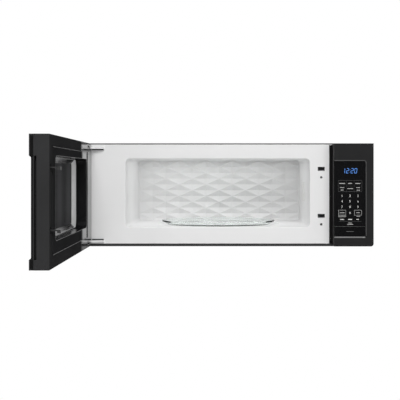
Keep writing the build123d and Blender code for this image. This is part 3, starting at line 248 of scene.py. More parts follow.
def shade_and_strip_black():
    """Dead black: painted shade beside the door's inner cover, by the hinge arms and down the door's free
    edge; also the own black of the strip beside the controls.
    """
    made = Finish("shade_and_strip_black", (0.0035, 0.0035, 0.0035), 0.6, specular=0.08)
    return made.mottled((0.005, 0.005, 0.005), 20.0).uneven(0.05, 30.0).grain(1200.0, 0.2, 0.00008)


def soft_black():
    """Matte black plastic."""
    made = Finish("soft_black", (0.008, 0.008, 0.008), 0.55, specular=0.3)
    return made.mottled((0.012, 0.012, 0.012), 20.0).grain(1200.0, 0.2, 0.00008)


def dark_glass():
    """Black glass front: polished, with a trace of smear."""
    made = Finish("dark_glass", (0.0045, 0.0045, 0.005), 0.06)
    made.set("Coat Weight", 0.4).set("Coat Roughness", 0.03)
    return made.mottled((0.006, 0.006, 0.0065), 4.0).uneven(0.03, 7.0)


def pan_black():
    """Gloss black enamel on drawn steel."""
    made = Finish("pan_black", (0.007, 0.007, 0.0075), 0.16)
    return made.mottled((0.010, 0.010, 0.0105), 9.0).uneven(0.05, 12.0).grain(90.0, 0.10, 0.0001)


# Distance from a hole's middle at which the window's screen turns from hole to metal
HOLE_RIM = (0.30, 0.42)
HOLE_SCALE = 420.0


def clear_sheet():
    """Matte film over the perforated screen of the door's window; its grey is partly the screen's own dark
    metal and holes, and partly painted reflection standing in for the white face mirrored in the window's
    glass.
    """
    made = Finish("clear_sheet", (0.052, 0.052, 0.054), 0.55, specular=0.0)
    holes = made.node("ShaderNodeTexVoronoi", Scale=HOLE_SCALE, Randomness=0.0)
    made.link(made.place, holes.inputs["Vector"])
    ramp = made.node("ShaderNodeValToRGB")
    ramp.color_ramp.elements[0].position = HOLE_RIM[0]
    ramp.color_ramp.elements[0].color = (0.016, 0.016, 0.017, 1.0)
    ramp.color_ramp.elements[1].position = HOLE_RIM[1]
    ramp.color_ramp.elements[1].color = (0.085, 0.085, 0.088, 1.0)
    made.link(holes.outputs["Distance"], ramp.inputs["Fac"])
    made.link(ramp.outputs["Color"], made.shader.inputs["Base Color"])
    return made.grain(300.0, 0.05)


def tray_glass():
    """Clear pressed glass with a faint green body."""
    made = Finish("tray_glass", (0.93, 0.96, 0.95), 0.03)
    made.set("Transmission Weight", 1.0).set("IOR", 1.12)
    return made.uneven(0.02, 25.0).grain(40.0, 0.08, 0.0002)


def bracket_white():
    """White painted steel arm."""
    made = Finish("bracket_white", (0.80, 0.80, 0.80), 0.32)
    return made.mottled((0.72, 0.72, 0.72), 60.0).grain(400.0, 0.08, 0.0001)


def painted_highlight_white():
    """White strip round the window, with a clear coat: a painted highlight standing in for the bright
    reflection on the window's sloping bezel.
    """
    made = Finish("painted_highlight_white", (0.95, 0.95, 0.95), 0.32)
    made.set("Coat Weight", 0.5).set("Coat Roughness", 0.12).set("Coat IOR", 1.5)
    return made.mottled((0.92, 0.92, 0.92), 14.0).uneven(0.03, 30.0).grain(500.0, 0.05, 0.0001)


def pin_steel():
    """Turned steel."""
    made = Finish("pin_steel", (0.55, 0.55, 0.57), 0.28, metallic=1.0)
    return made.mottled((0.66, 0.66, 0.68), 200.0).uneven(0.08, 300.0)


def plastic(name, colour, other, roughness=0.5):
    """Plain moulded plastic with a fine texture."""
    made = Finish(name, colour, roughness)
    return made.mottled(other, 25.0).uneven(0.06, 30.0).grain(900.0, 0.12, 0.00008)


def board_green():
    """Lacquered circuit board with a hint of copper tracks."""
    made = Finish("board_green", (0.015, 0.10, 0.035), 0.3)
    tracks = made.node("ShaderNodeTexBrick", Scale=120.0)
    tracks.inputs["Color1"].default_value = (0.015, 0.10, 0.035, 1.0)
    tracks.inputs["Color2"].default_value = (0.02, 0.13, 0.05, 1.0)
    tracks.inputs["Mortar"].default_value = (0.05, 0.22, 0.08, 1.0)
    made.link(made.stretched((1.0, 0.0, 1.0)), tracks.inputs["Vector"])
    made.link(tracks.outputs["Color"], made.shader.inputs["Base Color"])
    return made.grain(300.0, 0.1)


def core_iron():
    """Varnished laminations: thin sheets stacked along Y."""
    made = Finish("core_iron", (0.05, 0.045, 0.04), 0.45, metallic=0.6)
    sheets = made.stretched((0.0, 1.0, 0.0))
    return made.mottled((0.11, 0.10, 0.09), 1500.0, place=sheets).grain(1500.0, 0.4, place=sheets)


def copper():
    """Enamelled winding wire laid side by side."""
    made = Finish("copper", (0.45, 0.16, 0.06), 0.32, metallic=0.85)
    wire = made.stretched((0.0, 0.0, 1.0))
    return made.mottled((0.62, 0.26, 0.11), 900.0, place=wire).grain(900.0, 0.6, 0.0004, place=wire)


def tube_aluminium():
    """Sheet aluminium with a brushed direction."""
    made = Finish("tube_aluminium", (0.62, 0.63, 0.64), 0.36, metallic=1.0)
    brushed = made.stretched((1.0, 18.0, 18.0))
    return made.mottled((0.72, 0.73, 0.74), 60.0, place=brushed).grain(120.0, 0.12, place=brushed)


def filter_mesh():
    """Layered aluminium mesh: crossed waves over a dark ground."""
    made = Finish("filter_mesh", (0.60, 0.61, 0.63), 0.38, metallic=1.0)
    lattice = made.node("ShaderNodeTexVoronoi", Scale=330.0)
    lattice.feature = "DISTANCE_TO_EDGE"
    made.link(made.place, lattice.inputs["Vector"])
    ramp = made.node("ShaderNodeValToRGB")
    ramp.color_ramp.elements[0].color = (0.70, 0.71, 0.73, 1.0)
    ramp.color_ramp.elements[1].position = 0.22
    ramp.color_ramp.elements[1].color = (0.12, 0.12, 0.13, 1.0)
    made.link(lattice.outputs["Distance"], ramp.inputs["Fac"])
    made.link(ramp.outputs["Color"], made.shader.inputs["Base Color"])
    return made.bump(lattice.outputs["Distance"], -0.8, 0.0006)


def lens_frost():
    """Frosted lamp glass."""
    made = Finish("lens_frost", (0.86, 0.88, 0.88), 0.42)
    made.set("Transmission Weight", 0.7).set("IOR", 1.46)
    return made.mottled((0.80, 0.82, 0.82), 30.0).grain(700.0, 0.3)


def display_blue():
    """Lit blue segments of the clock."""
    made = Finish("display_blue", (0.03, 0.10, 0.35), 0.4)
    made.set("Emission Color", (0.12, 0.38, 1.0, 1.0)).set("Emission Strength", 0.8)
    return made.mottled((0.04, 0.12, 0.40), 300.0)


def mica():
    """Mica sheet, lacquered white like the oven, with faint flecks."""
    made = Finish("mica", (0.84, 0.84, 0.83), 0.42)
    return made.mottled((0.80, 0.80, 0.78), 120.0).grain(200.0, 0.1)


def gland_rubber():
    """Moulded rubber."""
    made = Finish("gland_rubber", (0.02, 0.02, 0.02), 0.6)
    return made.mottled((0.03, 0.03, 0.03), 60.0).grain(600.0, 0.25)


FINISHES = {made.slot: made.material for made in (
    black_paint(), zinc_steel(), white_enamel(), door_black(), inner_black(), soft_black(), dark_glass(),
    pan_black(), clear_sheet(), tray_glass(), bracket_white(), pin_steel(),
    plastic("latch_plastic", (0.02, 0.02, 0.02), (0.03, 0.03, 0.03), 0.35),
    plastic("grey_plastic", (0.20, 0.20, 0.21), (0.24, 0.24, 0.25)),
    plastic("pale_plastic", (0.70, 0.70, 0.68), (0.64, 0.64, 0.62)),
    plastic("print_grey", (0.40, 0.40, 0.39), (0.34, 0.34, 0.33)),
    plastic("print_dim", (0.065, 0.065, 0.065), (0.05, 0.05, 0.05)),
    # Pale grey of the painted highlight lines on the door's inner cover.
    plastic("painted_edge_highlight_grey", (0.13, 0.13, 0.13), (0.11, 0.11, 0.11)),
    # Grey of the painted highlight on the rim of the control glass.
    plastic("painted_rim_highlight_grey", (0.055, 0.055, 0.055), (0.045, 0.045, 0.045)),
    # Pale grey of the painted highlight on the ledge under the controls.
    plastic("painted_ledge_highlight_grey", (0.19, 0.19, 0.19), (0.16, 0.16, 0.16)),
    board_green(), filter_mesh(), lens_frost(), core_iron(), copper(), tube_aluminium(), mica(),
    gland_rubber(), display_blue(), lightened_oven_enamel(), panel_black(), painted_highlight_white(), shade_and_strip_black())}
# The oven's liner and turntable well take a brighter copy of the white enamel: painted light.
FINISH_OF = {**SLOT_OF, "cavity_liner": "lightened_oven_enamel", "turntable_well": "lightened_oven_enamel",
             "control_housing": "panel_black", "finger_strip": "shade_and_strip_black"}
for node_name, node_object in NODES.items():
    node_object.data.materials.clear()
    node_object.data.materials.append(FINISHES[FINISH_OF[node_name]])


# Forms
MERGE_DISTANCE = 0.01 * MM
FLAT_ANGLE = math.radians(1)
SHARP_ANGLE = math.radians(30)
SOFT_SEGMENTS = 2
QUARTER_TURN = math.radians(90)


def linked(name, mesh, slot, body, finish=None):
    """A finished mesh as a piece on its body, with its finish."""
    mesh.materials.clear()
    mesh.materials.append(FINISHES[finish or slot])
    made = bpy.data.objects.new(name, mesh)
    bpy.context.scene.collection.objects.link(made)
    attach(made, body)
    return made


def piece(name, form, slot, body, finish=None):
    """Turns a bmesh into a piece."""
    mesh = bpy.data.meshes.new(name)
    form.to_mesh(mesh)
    form.free()
    return linked(name, mesh, slot, body, finish)


def softened(node, width):
    """A node with its pressed or moulded edges rounded; stands for the node."""
    form = bmesh.new()
    form.from_mesh(NODES[node].data)
    bmesh.ops.remove_doubles(form, verts=form.verts, dist=MERGE_DISTANCE)
    bmesh.ops.dissolve_limit(form, angle_limit=FLAT_ANGLE, verts=form.verts, edges=form.edges)
    made = piece(node + "_soft", form, SLOT_OF[node], BODY_OF[node], FINISH_OF[node])
    edges = made.modifiers.new("edges", "BEVEL")
    edges.width = width
    edges.segments = SOFT_SEGMENTS
    edges.limit_method = "ANGLE"
    edges.angle_limit = SHARP_ANGLE
    edges.harden_normals = True
    for face in made.data.polygons:
        face.use_smooth = True
    made.data.set_sharp_from_angle(angle=SHARP_ANGLE)
    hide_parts(node)
    return made


def block(form, low, high):
    """Adds a box to a bmesh from its two corners."""
    made = bmesh.ops.create_cube(form, size=1.0)["verts"]
    size = [b - a for a, b in zip(low, high)]
    bmesh.ops.scale(form, vec=size, verts=made)
    bmesh.ops.translate(form, vec=[(a + b) / 2 for a, b in zip(low, high)], verts=made)


# Nodes whose edges are rounded, with the width of the rounding in millimetres
SOFT_EDGES = (
    ("front_frame", 1.5), ("door_frame", 0.7), ("control_housing", 0.7), ("door_glass", 0.5),
    ("touch_panel", 0.4), ("lower_trim", 0.4), ("hinge_brackets", 0.8), ("choke_cover", 0.8),
    ("finger_strip", 0.3), ("outer_wrapper", 0.5))
for node, width in SOFT_EDGES:
    softened(node, width * MM)


# Oven: quilted back wall, made of rows of four-sided cones
CAVITY = {"left": -242.0 * MM, "right": 223.0 * MM, "floor": -81.2 * MM, "top": 90.8 * MM,
          "back": -54.5 * MM}
QUILT_PITCH = 77.0 * MM
QUILT_ROW = 16.8 * MM
QUILT_DEPTH = 6.5 * MM
QUILT_LIFT = 6.4 * MM
QUILT_FADE = 14.0 * MM
QUILT_INSET = 3.0 * MM
QUILT_RISE = 5.0 * MM
QUILT_MARGIN = 0.2 * MM
QUILT_START = -2.5 * MM
QUILT_MERGE = 0.05 * MM


def quilt_cone(form, x, z, depth):
    """One cone of the quilt, standing out of the back wall by its depth."""
    cone = bmesh.ops.create_cone(form, cap_ends=False, segments=4, radius1=1.0, radius2=0.0,
                                 depth=1.0)["verts"]
    bmesh.ops.rotate(form, verts=cone, cent=(0, 0, 0), matrix=Matrix.Rotation(-QUARTER_TURN, 3, "X"))
    bmesh.ops.scale(form, verts=cone, vec=(QUILT_PITCH / 2, depth, QUILT_ROW))
    bmesh.ops.translate(form, verts=cone, vec=(x, CAVITY["back"] - QUILT_LIFT + depth / 2, z))


def quilted_wall():
    """Embossed sheet on the oven's back wall: staggered diamonds that fade out towards both side walls."""
    left, right = CAVITY["left"] + QUILT_INSET, CAVITY["right"] - QUILT_INSET
    low, high = CAVITY["floor"] + QUILT_RISE, CAVITY["top"] - QUILT_MARGIN
    middle = (left + right) / 2
    form = bmesh.new()
    columns = int((right - left) / QUILT_PITCH) + 2
    rows = int((high - low) / QUILT_ROW) + 2
    for row in range(-1, rows):
        for column in range(-columns, columns + 1):
            x = middle + (column + 0.5 * (row % 2)) * QUILT_PITCH
            z = low + QUILT_START + row * QUILT_ROW
            if x < left - QUILT_PITCH or x > right + QUILT_PITCH:
                continue
            reach = min(x - left, right - x)
            fade = min(max((reach - QUILT_FADE / 2) / QUILT_FADE, 0.0), 1.0)
            quilt_cone(form, x, z, QUILT_DEPTH * fade)
    bmesh.ops.remove_doubles(form, verts=form.verts, dist=QUILT_MERGE)
    for place, normal in (((left, 0, 0), (-1, 0, 0)), ((right, 0, 0), (1, 0, 0)),
                          ((0, 0, low), (0, 0, -1)), ((0, 0, high), (0, 0, 1))):
        geometry = form.verts[:] + form.edges[:] + form.faces[:]
        bmesh.ops.bisect_plane(form, geom=geometry, plane_co=place, plane_no=normal, clear_outer=True)
    rim = bmesh.ops.extrude_edge_only(form, edges=[edge for edge in form.edges if edge.is_boundary])["geom"]
    reach, drop = QUILT_INSET - QUILT_MARGIN, QUILT_RISE - QUILT_MARGIN
    for corner in (part for part in rim if isinstance(part, bmesh.types.BMVert)):
        if abs(corner.co.x - left) < QUILT_MARGIN:
            corner.co.x -= reach
        if abs(corner.co.x - right) < QUILT_MARGIN:
            corner.co.x += reach
        if abs(corner.co.z - low) < QUILT_MARGIN:
            corner.co.z -= drop
        corner.co.y -= reach
    bmesh.ops.recalc_face_normals(form, faces=form.faces)
    if sum(face.normal.y for face in form.faces) > 0:
        bmesh.ops.reverse_faces(form, faces=form.faces)
    # The quilt takes the brighter copy of the white enamel: painted light.
    piece("quilted_wall", form, "white_enamel", "case", "lightened_oven_enamel")


quilted_wall()


# Control panel: figures, label bars, outlines and the clock, a hair's breadth in front of the glass
PANEL_FRONT = span("touch_panel", 1)[0]
PRINT_LIFT = 0.12 * MM
PRINT_Y = PANEL_FRONT - PRINT_LIFT
RIM_Y = span("control_housing", 1)[0] - PRINT_LIFT
KEY_COLUMNS = (301.2 * MM, 321.1 * MM, 340.8 * MM)
DIGIT_ROWS = (-2.2 * MM, -15.7 * MM, -29.6 * MM)
ZERO_ROW = -44.6 * MM
DIGIT_SIZE = 8.2 * MM
DIGIT_CURVE_STEPS = 3


def figure(text, x, z, size):
    """A printed figure, centred on its place on the glass."""
    curve = bpy.data.curves.new("figure", "FONT")
    curve.body = text
    curve.size = size
    curve.align_x = "CENTER"
    curve.align_y = "CENTER"
    curve.resolution_u = DIGIT_CURVE_STEPS
    holder = bpy.data.objects.new("figure", curve)
    bpy.context.scene.collection.objects.link(holder)
    bpy.context.view_layer.update()
    mesh = bpy.data.meshes.new_from_object(holder)
    bpy.data.objects.remove(holder)
    mesh.transform(Matrix.Translation((x, PRINT_Y, z)) @ Matrix.Rotation(QUARTER_TURN, 4, "X"))
    return mesh


def bar(form, x, z, width, height, y=PRINT_Y):
    """A printed bar centred on its place on the glass."""
    made = bmesh.ops.create_grid(form, x_segments=1, y_segments=1, size=0.5)["verts"]
    bmesh.ops.rotate(form, verts=made, cent=(0, 0, 0), matrix=Matrix.Rotation(QUARTER_TURN, 3, "X"))
    bmesh.ops.scale(form, verts=made, vec=(width, 1, height))
    bmesh.ops.translate(form, verts=made, vec=(x, y, z))


def outline(form, x0, x1, z0, z1, line):
    """A printed rectangle of thin lines."""
    bar(form, (x0 + x1) / 2, z0, x1 - x0, line)
    bar(form, (x0 + x1) / 2, z1, x1 - x0, line)
    bar(form, x0, (z0 + z1) / 2, line, z1 - z0)
    bar(form, x1, (z0 + z1) / 2, line, z1 - z0)


def printed_figures():
    """Figures 1 to 9 in three rows, and 0 under them."""
    form = bmesh.new()
    for index in range(9):
        form.from_mesh(figure(str(index + 1), KEY_COLUMNS[index % 3], DIGIT_ROWS[index // 3], DIGIT_SIZE))
    form.from_mesh(figure("0", KEY_COLUMNS[1], ZERO_ROW, DIGIT_SIZE))
    piece("key_figures", form, "pale_plastic", "case")


# Printed bars standing for the words on the keys: middle x and z, width and height in millimetres
LABEL_BARS = (
    (301.6, 29.1, 14.6, 2.2), (321.3, 29.1, 9.8, 2.2), (340.7, 29.1, 12.4, 2.2),
    (301.4, 18.7, 10.8, 1.7), (301.6, 12.7, 7.4, 1.9), (321.3, 16.3, 14.6, 1.7),
    (341.0, 18.7, 9.4, 1.7), (341.7, 12.2, 8.0, 1.7),
    (301.4, -43.8, 12.4, 1.6), (301.6, -51.8, 15.6, 1.7),
    (341.0, -43.8, 9.6, 1.7), (341.9, -52.7, 8.8, 1.6),
    (321.3, -69.4, 9.6, 1.5), (321.3, -72.9, 14.2, 1.5))
FOOT_BARS = ((301.4, -60.6, 9.8, 1.9), (321.4, -60.6, 9.6, 1.9), (340.3, -60.6, 6.6, 1.9))
# Printed boxes, dim ones and clear ones: left, right, low and high in millimetres
KEY_BOXES = (
    (291.9, 312.1, 22.7, 36.4), (312.1, 331.4, 22.7, 36.4), (331.4, 350.7, 22.7, 36.4),
    (291.9, 312.1, 8.8, 22.7), (312.1, 331.4, 8.8, 22.7), (331.4, 350.7, 8.8, 22.7))
CLEAR_BOXES = ((292.6, 310.5, -54.3, -37.4), (332.1, 350.0, -50.0, -37.4))
# Dim bars and lines, in the order of the label bars
DIM_BARS = ((321.3, -65.6, 57.0, 0.5), (301.5, -47.9, 14.6, 2.0), (321.2, -90.6, 18.4, 1.5),
            (320.5, -78.1, 75.0, 0.7))
LINE = 0.5 * MM
CLEAR_LINE = 0.75 * MM


def printed(name, bars, boxes, slot, finish, line):
    """Flat bars and boxes printed on the glass."""
    form = bmesh.new()
    for values in bars:
        bar(form, *(value * MM for value in values))
    for values in boxes:
        outline(form, *(value * MM for value in values), line)
    piece(name, form, slot, "case", finish)


def printed_labels():
    """Plain bars where the keys carry words, and the thin outlines round them."""
    printed("key_labels", LABEL_BARS, CLEAR_BOXES, "pale_plastic", "print_grey", CLEAR_LINE)
    printed("foot_labels", FOOT_BARS, (), "pale_plastic", "pale_plastic", LINE)
    printed("key_boxes", DIM_BARS, KEY_BOXES, "soft_black", "print_dim", LINE)


# Segments of a clock figure: a top, b and c right, d bottom, e and f left, g middle
SEGMENTS = {"1": "bc", "2": "abged", "0": "abcdef"}
CLOCK_HEIGHT = 11.6 * MM
CLOCK_WIDTH = 5.4 * MM
CLOCK_STROKE = 0.9 * MM
CLOCK_SLANT = 0.10
CLOCK_Z = 60.7 * MM
CLOCK_READING = (("1", 305.4 * MM), ("2", 315.2 * MM), ("2", 326.6 * MM), ("0", 335.4 * MM))
COLON_X = 320.9 * MM
COLON_REACH = 0.3 * CLOCK_HEIGHT
# Shares of a stroke by which upright and level segments stop short of the figure's corners
UPRIGHT_GAP = 0.7
LEVEL_GAP = 0.9


def clock():
    """Glowing clock reading, figures made of seven bars and leaning a little."""
    form = bmesh.new()
    half_w, half_h = CLOCK_WIDTH / 2, CLOCK_HEIGHT / 2
    upright = (CLOCK_STROKE, half_h - CLOCK_STROKE * UPRIGHT_GAP)
    level = (CLOCK_WIDTH - CLOCK_STROKE * LEVEL_GAP, CLOCK_STROKE)
    places = {"a": (0, half_h, level), "g": (0, 0, level), "d": (0, -half_h, level),
              "b": (half_w, half_h / 2, upright), "c": (half_w, -half_h / 2, upright),
              "f": (-half_w, half_h / 2, upright), "e": (-half_w, -half_h / 2, upright)}
    for text, x in CLOCK_READING:
        for name in SEGMENTS[text]:
            dx, dz, size = places[name]
            bar(form, x + dx + CLOCK_SLANT * dz, CLOCK_Z + dz, *size)
    for dz in (-COLON_REACH, COLON_REACH):
        bar(form, COLON_X + CLOCK_SLANT * dz, CLOCK_Z + dz, CLOCK_STROKE, CLOCK_STROKE)
    piece("clock_figures", form, "display_blue", "case")


printed_figures()
printed_labels()
clock()


# Painted highlights: a grey line for the polished rim of the glass along its top and right side, and a pale
# band for the ledge at the foot of the controls, standing in for the light their bevels catch
RIM_WIDTH = 1.9 * MM
RIM_TOP = 86.2 * MM
RIM_RIGHT = 360.9 * MM
RIM_LEFT = 281.4 * MM
RIM_FOOT = -101.5 * MM
RIM_CORNER = 5.0 * MM
RIM_STEPS = 6
LEDGE = {"middle": -104.7 * MM, "height": 3.2 * MM, "right": 358.6 * MM}


def corner_band(form, x, z):
    """A quarter of a flat ring about the rim's corner, from straight up round to the right."""
    ends = [form.verts.new((x, RIM_Y, z + reach))
            for reach in (RIM_CORNER - RIM_WIDTH / 2, RIM_CORNER + RIM_WIDTH / 2)]
    edge = form.edges.new(ends)
    bmesh.ops.spin(form, geom=[edge, *ends], cent=(x, 0, z), axis=(0, 1, 0), angle=QUARTER_TURN,
                   steps=RIM_STEPS, use_merge=False)


def panel_rim_highlight():
    """Thin grey line along the rim with one rounded corner: a painted highlight of the light on the glass's
    bevelled edge.
    """
    form = bmesh.new()
    inner = RIM_RIGHT - RIM_CORNER
    bar(form, (RIM_LEFT + inner) / 2, RIM_TOP, inner - RIM_LEFT, RIM_WIDTH, RIM_Y)
    height = RIM_TOP - RIM_CORNER - RIM_FOOT
    bar(form, RIM_RIGHT, RIM_FOOT + height / 2, RIM_WIDTH, height, RIM_Y)
    corner_band(form, inner, RIM_TOP - RIM_CORNER)
    piece("panel_rim_highlight", form, "soft_black", "case", "painted_rim_highlight_grey")


def panel_ledge_highlight():
    """Pale band under the lower part of the control panel: a painted highlight of the light caught by the
    sloping ledge there.
    """
    form = bmesh.new()
    bar(form, (RIM_LEFT + LEDGE["right"]) / 2, LEDGE["middle"], LEDGE["right"] - RIM_LEFT,
        LEDGE["height"], RIM_Y)
    piece("panel_ledge_highlight", form, "soft_black", "case", "painted_ledge_highlight_grey")


panel_rim_highlight()
panel_ledge_highlight()


# Door: pieces are shaped as if it were shut, then turned to the open pose about the hinge pin
DOOR_HINGE = next(joint for joint in frame["joints"] if joint["name"] == "door_hinge")
PIN = Vector(DOOR_HINGE["pos_m"])
OPEN_TURN = (Matrix.Translation(PIN) @ Matrix.Rotation(math.radians(-DOOR_HINGE["range_deg"][1]), 4, "Z")
             @ Matrix.Translation(-PIN))
CASE_LEFT = span("outer_wrapper", 0)[0]
DOOR_INSIDE = FACE_Y - 4.0 * MM
WINDOW = {"left": CASE_LEFT + 120.0 * MM, "right": CASE_LEFT + 592.0 * MM, "low": CASE_BOTTOM + 54.0 * MM,
          "high": CASE_BOTTOM + 219.0 * MM}
WINDOW_CORNER = 16.0 * MM
CORNER_SEGMENTS = 6
SLOPE_FRONT = DOOR_INSIDE - 22.2 * MM
PANE_FRONT = SLOPE_FRONT - 6.5 * MM


def rounded_loop(form, x0, x1, z0, z1, y, radius):
    """Adds a rounded rectangle facing along Y; returns its face."""
    corners = [form.verts.new(place) for place in ((x0, y, z0), (x1, y, z0), (x1, y, z1), (x0, y, z1))]
    form.faces.new(corners)
    bmesh.ops.bevel(form, geom=corners, offset=radius, segments=CORNER_SEGMENTS, affect="VERTICES",
                    profile=0.5, material=-1)
    form.faces.ensure_lookup_table()
    return form.faces[-1]


def shut_box(name):
    """Low and high corners of a door node as it sits when the door is shut."""
    back = OPEN_TURN.inverted()
    places = [back @ vertex.co for vertex in NODES[name].data.vertices]
    return [Vector([pick(place[axis] for place in places) for axis in range(3)]) for pick in (min, max)]


def loop_strip(name, outer, inner, slot, finish):
    """A band between two rounded loops round the window. Each loop is given by its inset at the sides, its
    inset above and below, and its place along Y."""
    form = bmesh.new()
    loops = [rounded_loop(form, WINDOW["left"] + side, WINDOW["right"] - side, WINDOW["low"] + edge,
                          WINDOW["high"] - edge, y, WINDOW_CORNER) for side, edge, y in (outer, inner)]
    edges = [edge for face in loops for edge in face.edges]
    bmesh.ops.delete(form, geom=loops, context="FACES_ONLY")
    bmesh.ops.bridge_loops(form, edges=edges)
    bmesh.ops.recalc_face_normals(form, faces=form.faces)
    if sum(face.normal.y for face in form.faces) < 0:
        bmesh.ops.reverse_faces(form, faces=form.faces)
    form.transform(OPEN_TURN)
    piece(name, form, slot, "door", finish)


COVER_LOW, COVER_HIGH = shut_box("choke_cover")
HIGHLIGHT_LINE_WIDTH = 1.0 * MM
HIGHLIGHT_LINE_PROUD = 0.35 * MM
STEP_WIDTH = 2.5 * MM
STEP_PROUD = 1.2 * MM
SKIN = 0.1 * MM
STRIP_OUTER = (12.0 * MM, 2.2 * MM, SLOPE_FRONT + SKIN)
STRIP_INNER = (46.0 * MM, 3.8 * MM, PANE_FRONT + 4 * SKIN)
HALF_LINE = 0.5 * MM
LINE_OUTER, LINE_INNER = ((inset, inset, COVER_HIGH.y + SKIN) for inset in (-HALF_LINE, HALF_LINE))
# The white band on the window's sloping bezel is a painted highlight.
loop_strip("window_highlight_strip", STRIP_OUTER, STRIP_INNER, "bracket_white", "painted_highlight_white")
# The thin grey line round the window on the cover is a painted highlight of the light on its edge.
loop_strip("window_highlight_line", LINE_OUTER, LINE_INNER, "grey_plastic", "painted_edge_highlight_grey")


def painted_cover_lines():
    """Fine raised pale grey lines along the top and foot of the inner cover, painted highlights of the
    light caught by its edges; and its dark step beside the hinge, painted shade of the gap there.
    """
    face = COVER_HIGH.y
    form = bmesh.new()
    for z in (COVER_HIGH.z - HIGHLIGHT_LINE_WIDTH, COVER_LOW.z):
        block(form, (COVER_LOW.x, face - SKIN, z), (COVER_HIGH.x, face + HIGHLIGHT_LINE_PROUD, z + HIGHLIGHT_LINE_WIDTH))
    form.transform(OPEN_TURN)
    piece("painted_cover_lines", form, "grey_plastic", "door", "painted_edge_highlight_grey")
    # The dark step beside the hinge is painted shade of the gap at the cover's edge.
    form = bmesh.new()
    block(form, (COVER_LOW.x, face - SKIN, COVER_LOW.z),
          (COVER_LOW.x + STEP_WIDTH, face + STEP_PROUD, COVER_HIGH.z))
    form.transform(OPEN_TURN)
    piece("cover_shade_step", form, "soft_black", "door", "shade_and_strip_black")


painted_cover_lines()


HINGE_ARM = 5.05 * MM
BRACKET_SHADE = {"left": -326.5 * MM, "right": -297.5 * MM, "thick": 2.4 * MM, "deep": 3.0 * MM}


def bracket_painted_shadows():
    """Painted shadows: dark strips between the hinge arms and the face, under the upper arm and over the
    lower one, standing in for the shade in the gaps there.
    """
    low, high = span("hinge_brackets", 2)
    form = bmesh.new()
    for z in (high - HINGE_ARM - BRACKET_SHADE["thick"], low + HINGE_ARM):
        block(form, (BRACKET_SHADE["left"], FACE_Y - BRACKET_SHADE["deep"], z),
              (BRACKET_SHADE["right"], FACE_Y - SKIN, z + BRACKET_SHADE["thick"]))
    piece("bracket_painted_shadows", form, "gland_rubber", "case", "shade_and_strip_black")


bracket_painted_shadows()


EDGE_SHADE_X = (-351.7 * MM, -346.3 * MM)
EDGE_SHADE_DEEP = 1.0 * MM
EDGE_SHADE_HEIGHTS = ((86.0 * MM, 125.5 * MM), (-124.0 * MM, -108.0 * MM))


def edge_painted_shade():
    """Painted shade: dark strips down the door's free edge above and below the grip, where the set-back
    side of the outer skin lies in shade.
    """
    form = bmesh.new()
    front = span("door_frame", 1)[0]
    for z0, z1 in EDGE_SHADE_HEIGHTS:
        block(form, (EDGE_SHADE_X[0], front, z0), (EDGE_SHADE_X[1], front + EDGE_SHADE_DEEP, z1))
    piece("edge_painted_shade", form, "soft_black", "door", "shade_and_strip_black")


edge_painted_shade()


# Studio
PAPER_GREY = 0.8


def glowing(name, strength):
    """Floor paper: white to the camera, in reflections and through glass, plain and pale to the lamps."""
    made = bpy.data.materials.new(name)
    made.use_nodes = True
    tree = made.node_tree
    tree.nodes.clear()
    output = tree.nodes.new("ShaderNodeOutputMaterial")
    paper = tree.nodes.new("ShaderNodeBsdfDiffuse")
    paper.inputs["Color"].default_value = (PAPER_GREY, PAPER_GREY, PAPER_GREY, 1.0)
    glow = tree.nodes.new("ShaderNodeEmission")
    glow.inputs["Color"].default_value = (1.0, 1.0, 1.0, 1.0)
    glow.inputs["Strength"].default_value = strength
    mix = tree.nodes.new("ShaderNodeMixShader")
    path = tree.nodes.new("ShaderNodeLightPath")
    seen = path.outputs["Is Camera Ray"]
    for ray in ("Is Transmission Ray", "Is Glossy Ray"):
        either = tree.nodes.new("ShaderNodeMath")
        either.operation = "ADD"
        either.use_clamp = True
        tree.links.new(seen, either.inputs[0])
        tree.links.new(path.outputs[ray], either.inputs[1])
        seen = either.outputs[0]
    tree.links.new(seen, mix.inputs["Fac"])
    tree.links.new(paper.outputs[0], mix.inputs[1])
    tree.links.new(glow.outputs[0], mix.inputs[2])
    tree.links.new(mix.outputs[0], output.inputs["Surface"])
    return made


# Values of the direction's Y between which gloss goes from the room in front to the room behind
ROOM_TURN = (-0.2, 0.5)


def world_light(level, front, rear):
    """Even soft light; gloss sees a dim room in front of the oven and a paler one behind it."""
    world = bpy.data.worlds.new("studio")
    bpy.context.scene.world = world
    world.use_nodes = True
    tree = world.node_tree
    background = tree.nodes["Background"]
    background.inputs["Color"].default_value = (1.0, 1.0, 1.0, 1.0)

    def between(factor, low, high, start=0.0, end=1.0):
        """Value that goes from low to high as a factor goes from start to end."""
        made = tree.nodes.new("ShaderNodeMapRange")
        tree.links.new(factor, made.inputs["Value"])
        for socket, value in (("From Min", start), ("From Max", end), ("To Min", low), ("To Max", high)):
            if isinstance(value, float):
                made.inputs[socket].default_value = value
            else:
                tree.links.new(value, made.inputs[socket])
        return made.outputs["Result"]

    path = tree.nodes.new("ShaderNodeLightPath")
    direction = tree.nodes.new("ShaderNodeSeparateXYZ")
    tree.links.new(tree.nodes.new("ShaderNodeTexCoord").outputs["Generated"], direction.inputs["Vector"])
    room = between(direction.outputs["Y"], front, rear, *ROOM_TURN)
    lit = between(path.outputs["Is Glossy Ray"], level, room)
    seen = between(path.outputs["Is Transmission Ray"], lit, 1.0)
    tree.links.new(between(path.outputs["Is Camera Ray"], seen, 1.0), background.inputs["Strength"])


def plane_object(name, corners, material):
    """A flat quad for the stage."""
    mesh = bpy.data.meshes.new(name)
    sheet = bmesh.new()
    sheet.faces.new([sheet.verts.new(corner) for corner in corners])
    sheet.to_mesh(mesh)
    sheet.free()
    mesh.materials.append(material)
    made = bpy.data.objects.new(name, mesh)
    bpy.context.scene.collection.objects.link(made)


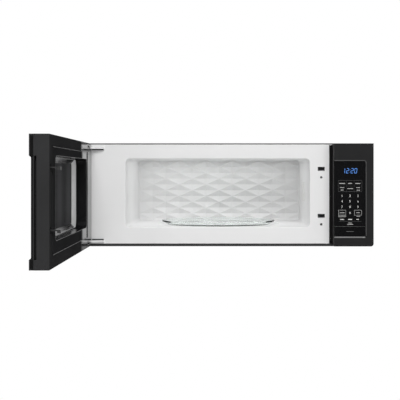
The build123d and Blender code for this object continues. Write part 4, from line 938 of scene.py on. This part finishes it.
def soft_lamp(name, place, target, size, power):
    """An area lamp aimed at a point."""
    data = bpy.data.lights.new(name, "AREA")
    data.shape = "RECTANGLE"
    data.size, data.size_y = size
    data.energy = power
    made = bpy.data.objects.new(name, data)
    made.location = place
    made.rotation_euler = (Vector(target) - Vector(place)).to_track_quat("-Z", "Y").to_euler()
    made.visible_camera = False
    bpy.context.scene.collection.objects.link(made)


def photo_camera():
    """Camera at the photograph's viewing angle."""
    data = bpy.data.cameras.new("camera")
    data.sensor_width = SENSOR_MM
    data.lens = FOCAL_PX / IMAGE_PX * SENSOR_MM
    data.shift_x = (IMAGE_PX / 2 - CENTRE_PX[0]) / IMAGE_PX
    data.shift_y = (CENTRE_PX[1] - IMAGE_PX / 2) / IMAGE_PX
    made = bpy.data.objects.new("camera", data)
    made.location = (CAMERA_X, FACE_Y - CAMERA_TO_FACE, CASE_BOTTOM + CAMERA_HEIGHT)
    made.rotation_euler = (QUARTER_TURN, 0, 0)
    bpy.context.scene.collection.objects.link(made)
    bpy.context.scene.camera = made


FLOOR_Z = -0.95
STAGE_HALF = 6.0
# Strength of the even light, and of what gloss sees in front of the oven and behind it
WORLD = (0.29, 0.04, 0.25)
# Lamps: name, place, point aimed at, width and height, power in watts
LAMPS = (
    ("key", (0.0, -3.4, 1.9), (-0.1, -0.4, 0.0), (1.5, 1.8), 80.0),
    ("fill", (1.45, -3.1, 0.3), (0.0, -0.4, 0.0), (0.9, 1.8), 12.0),
    ("oven_rear", (-0.01, -0.145, 0.0902), (-0.01, -0.145, -0.08), (0.42, 0.12), 0.12),
    ("oven_front", (-0.01, -0.29, 0.0902), (-0.01, -0.29, -0.08), (0.42, 0.16), 0.19))
floor_corners = [(-STAGE_HALF, -STAGE_HALF, FLOOR_Z), (STAGE_HALF, -STAGE_HALF, FLOOR_Z),
                 (STAGE_HALF, STAGE_HALF, FLOOR_Z), (-STAGE_HALF, STAGE_HALF, FLOOR_Z)]
plane_object("floor", floor_corners, glowing("floor_paper", 1.0))
photo_camera()
world_light(*WORLD)
for lamp in LAMPS:
    soft_lamp(*lamp)
bpy.context.scene.view_settings.view_transform = "Standard"

for made in bpy.context.scene.objects:
    if made.type == "MESH" and made.name in NODES:
        made.data.shade_flat()
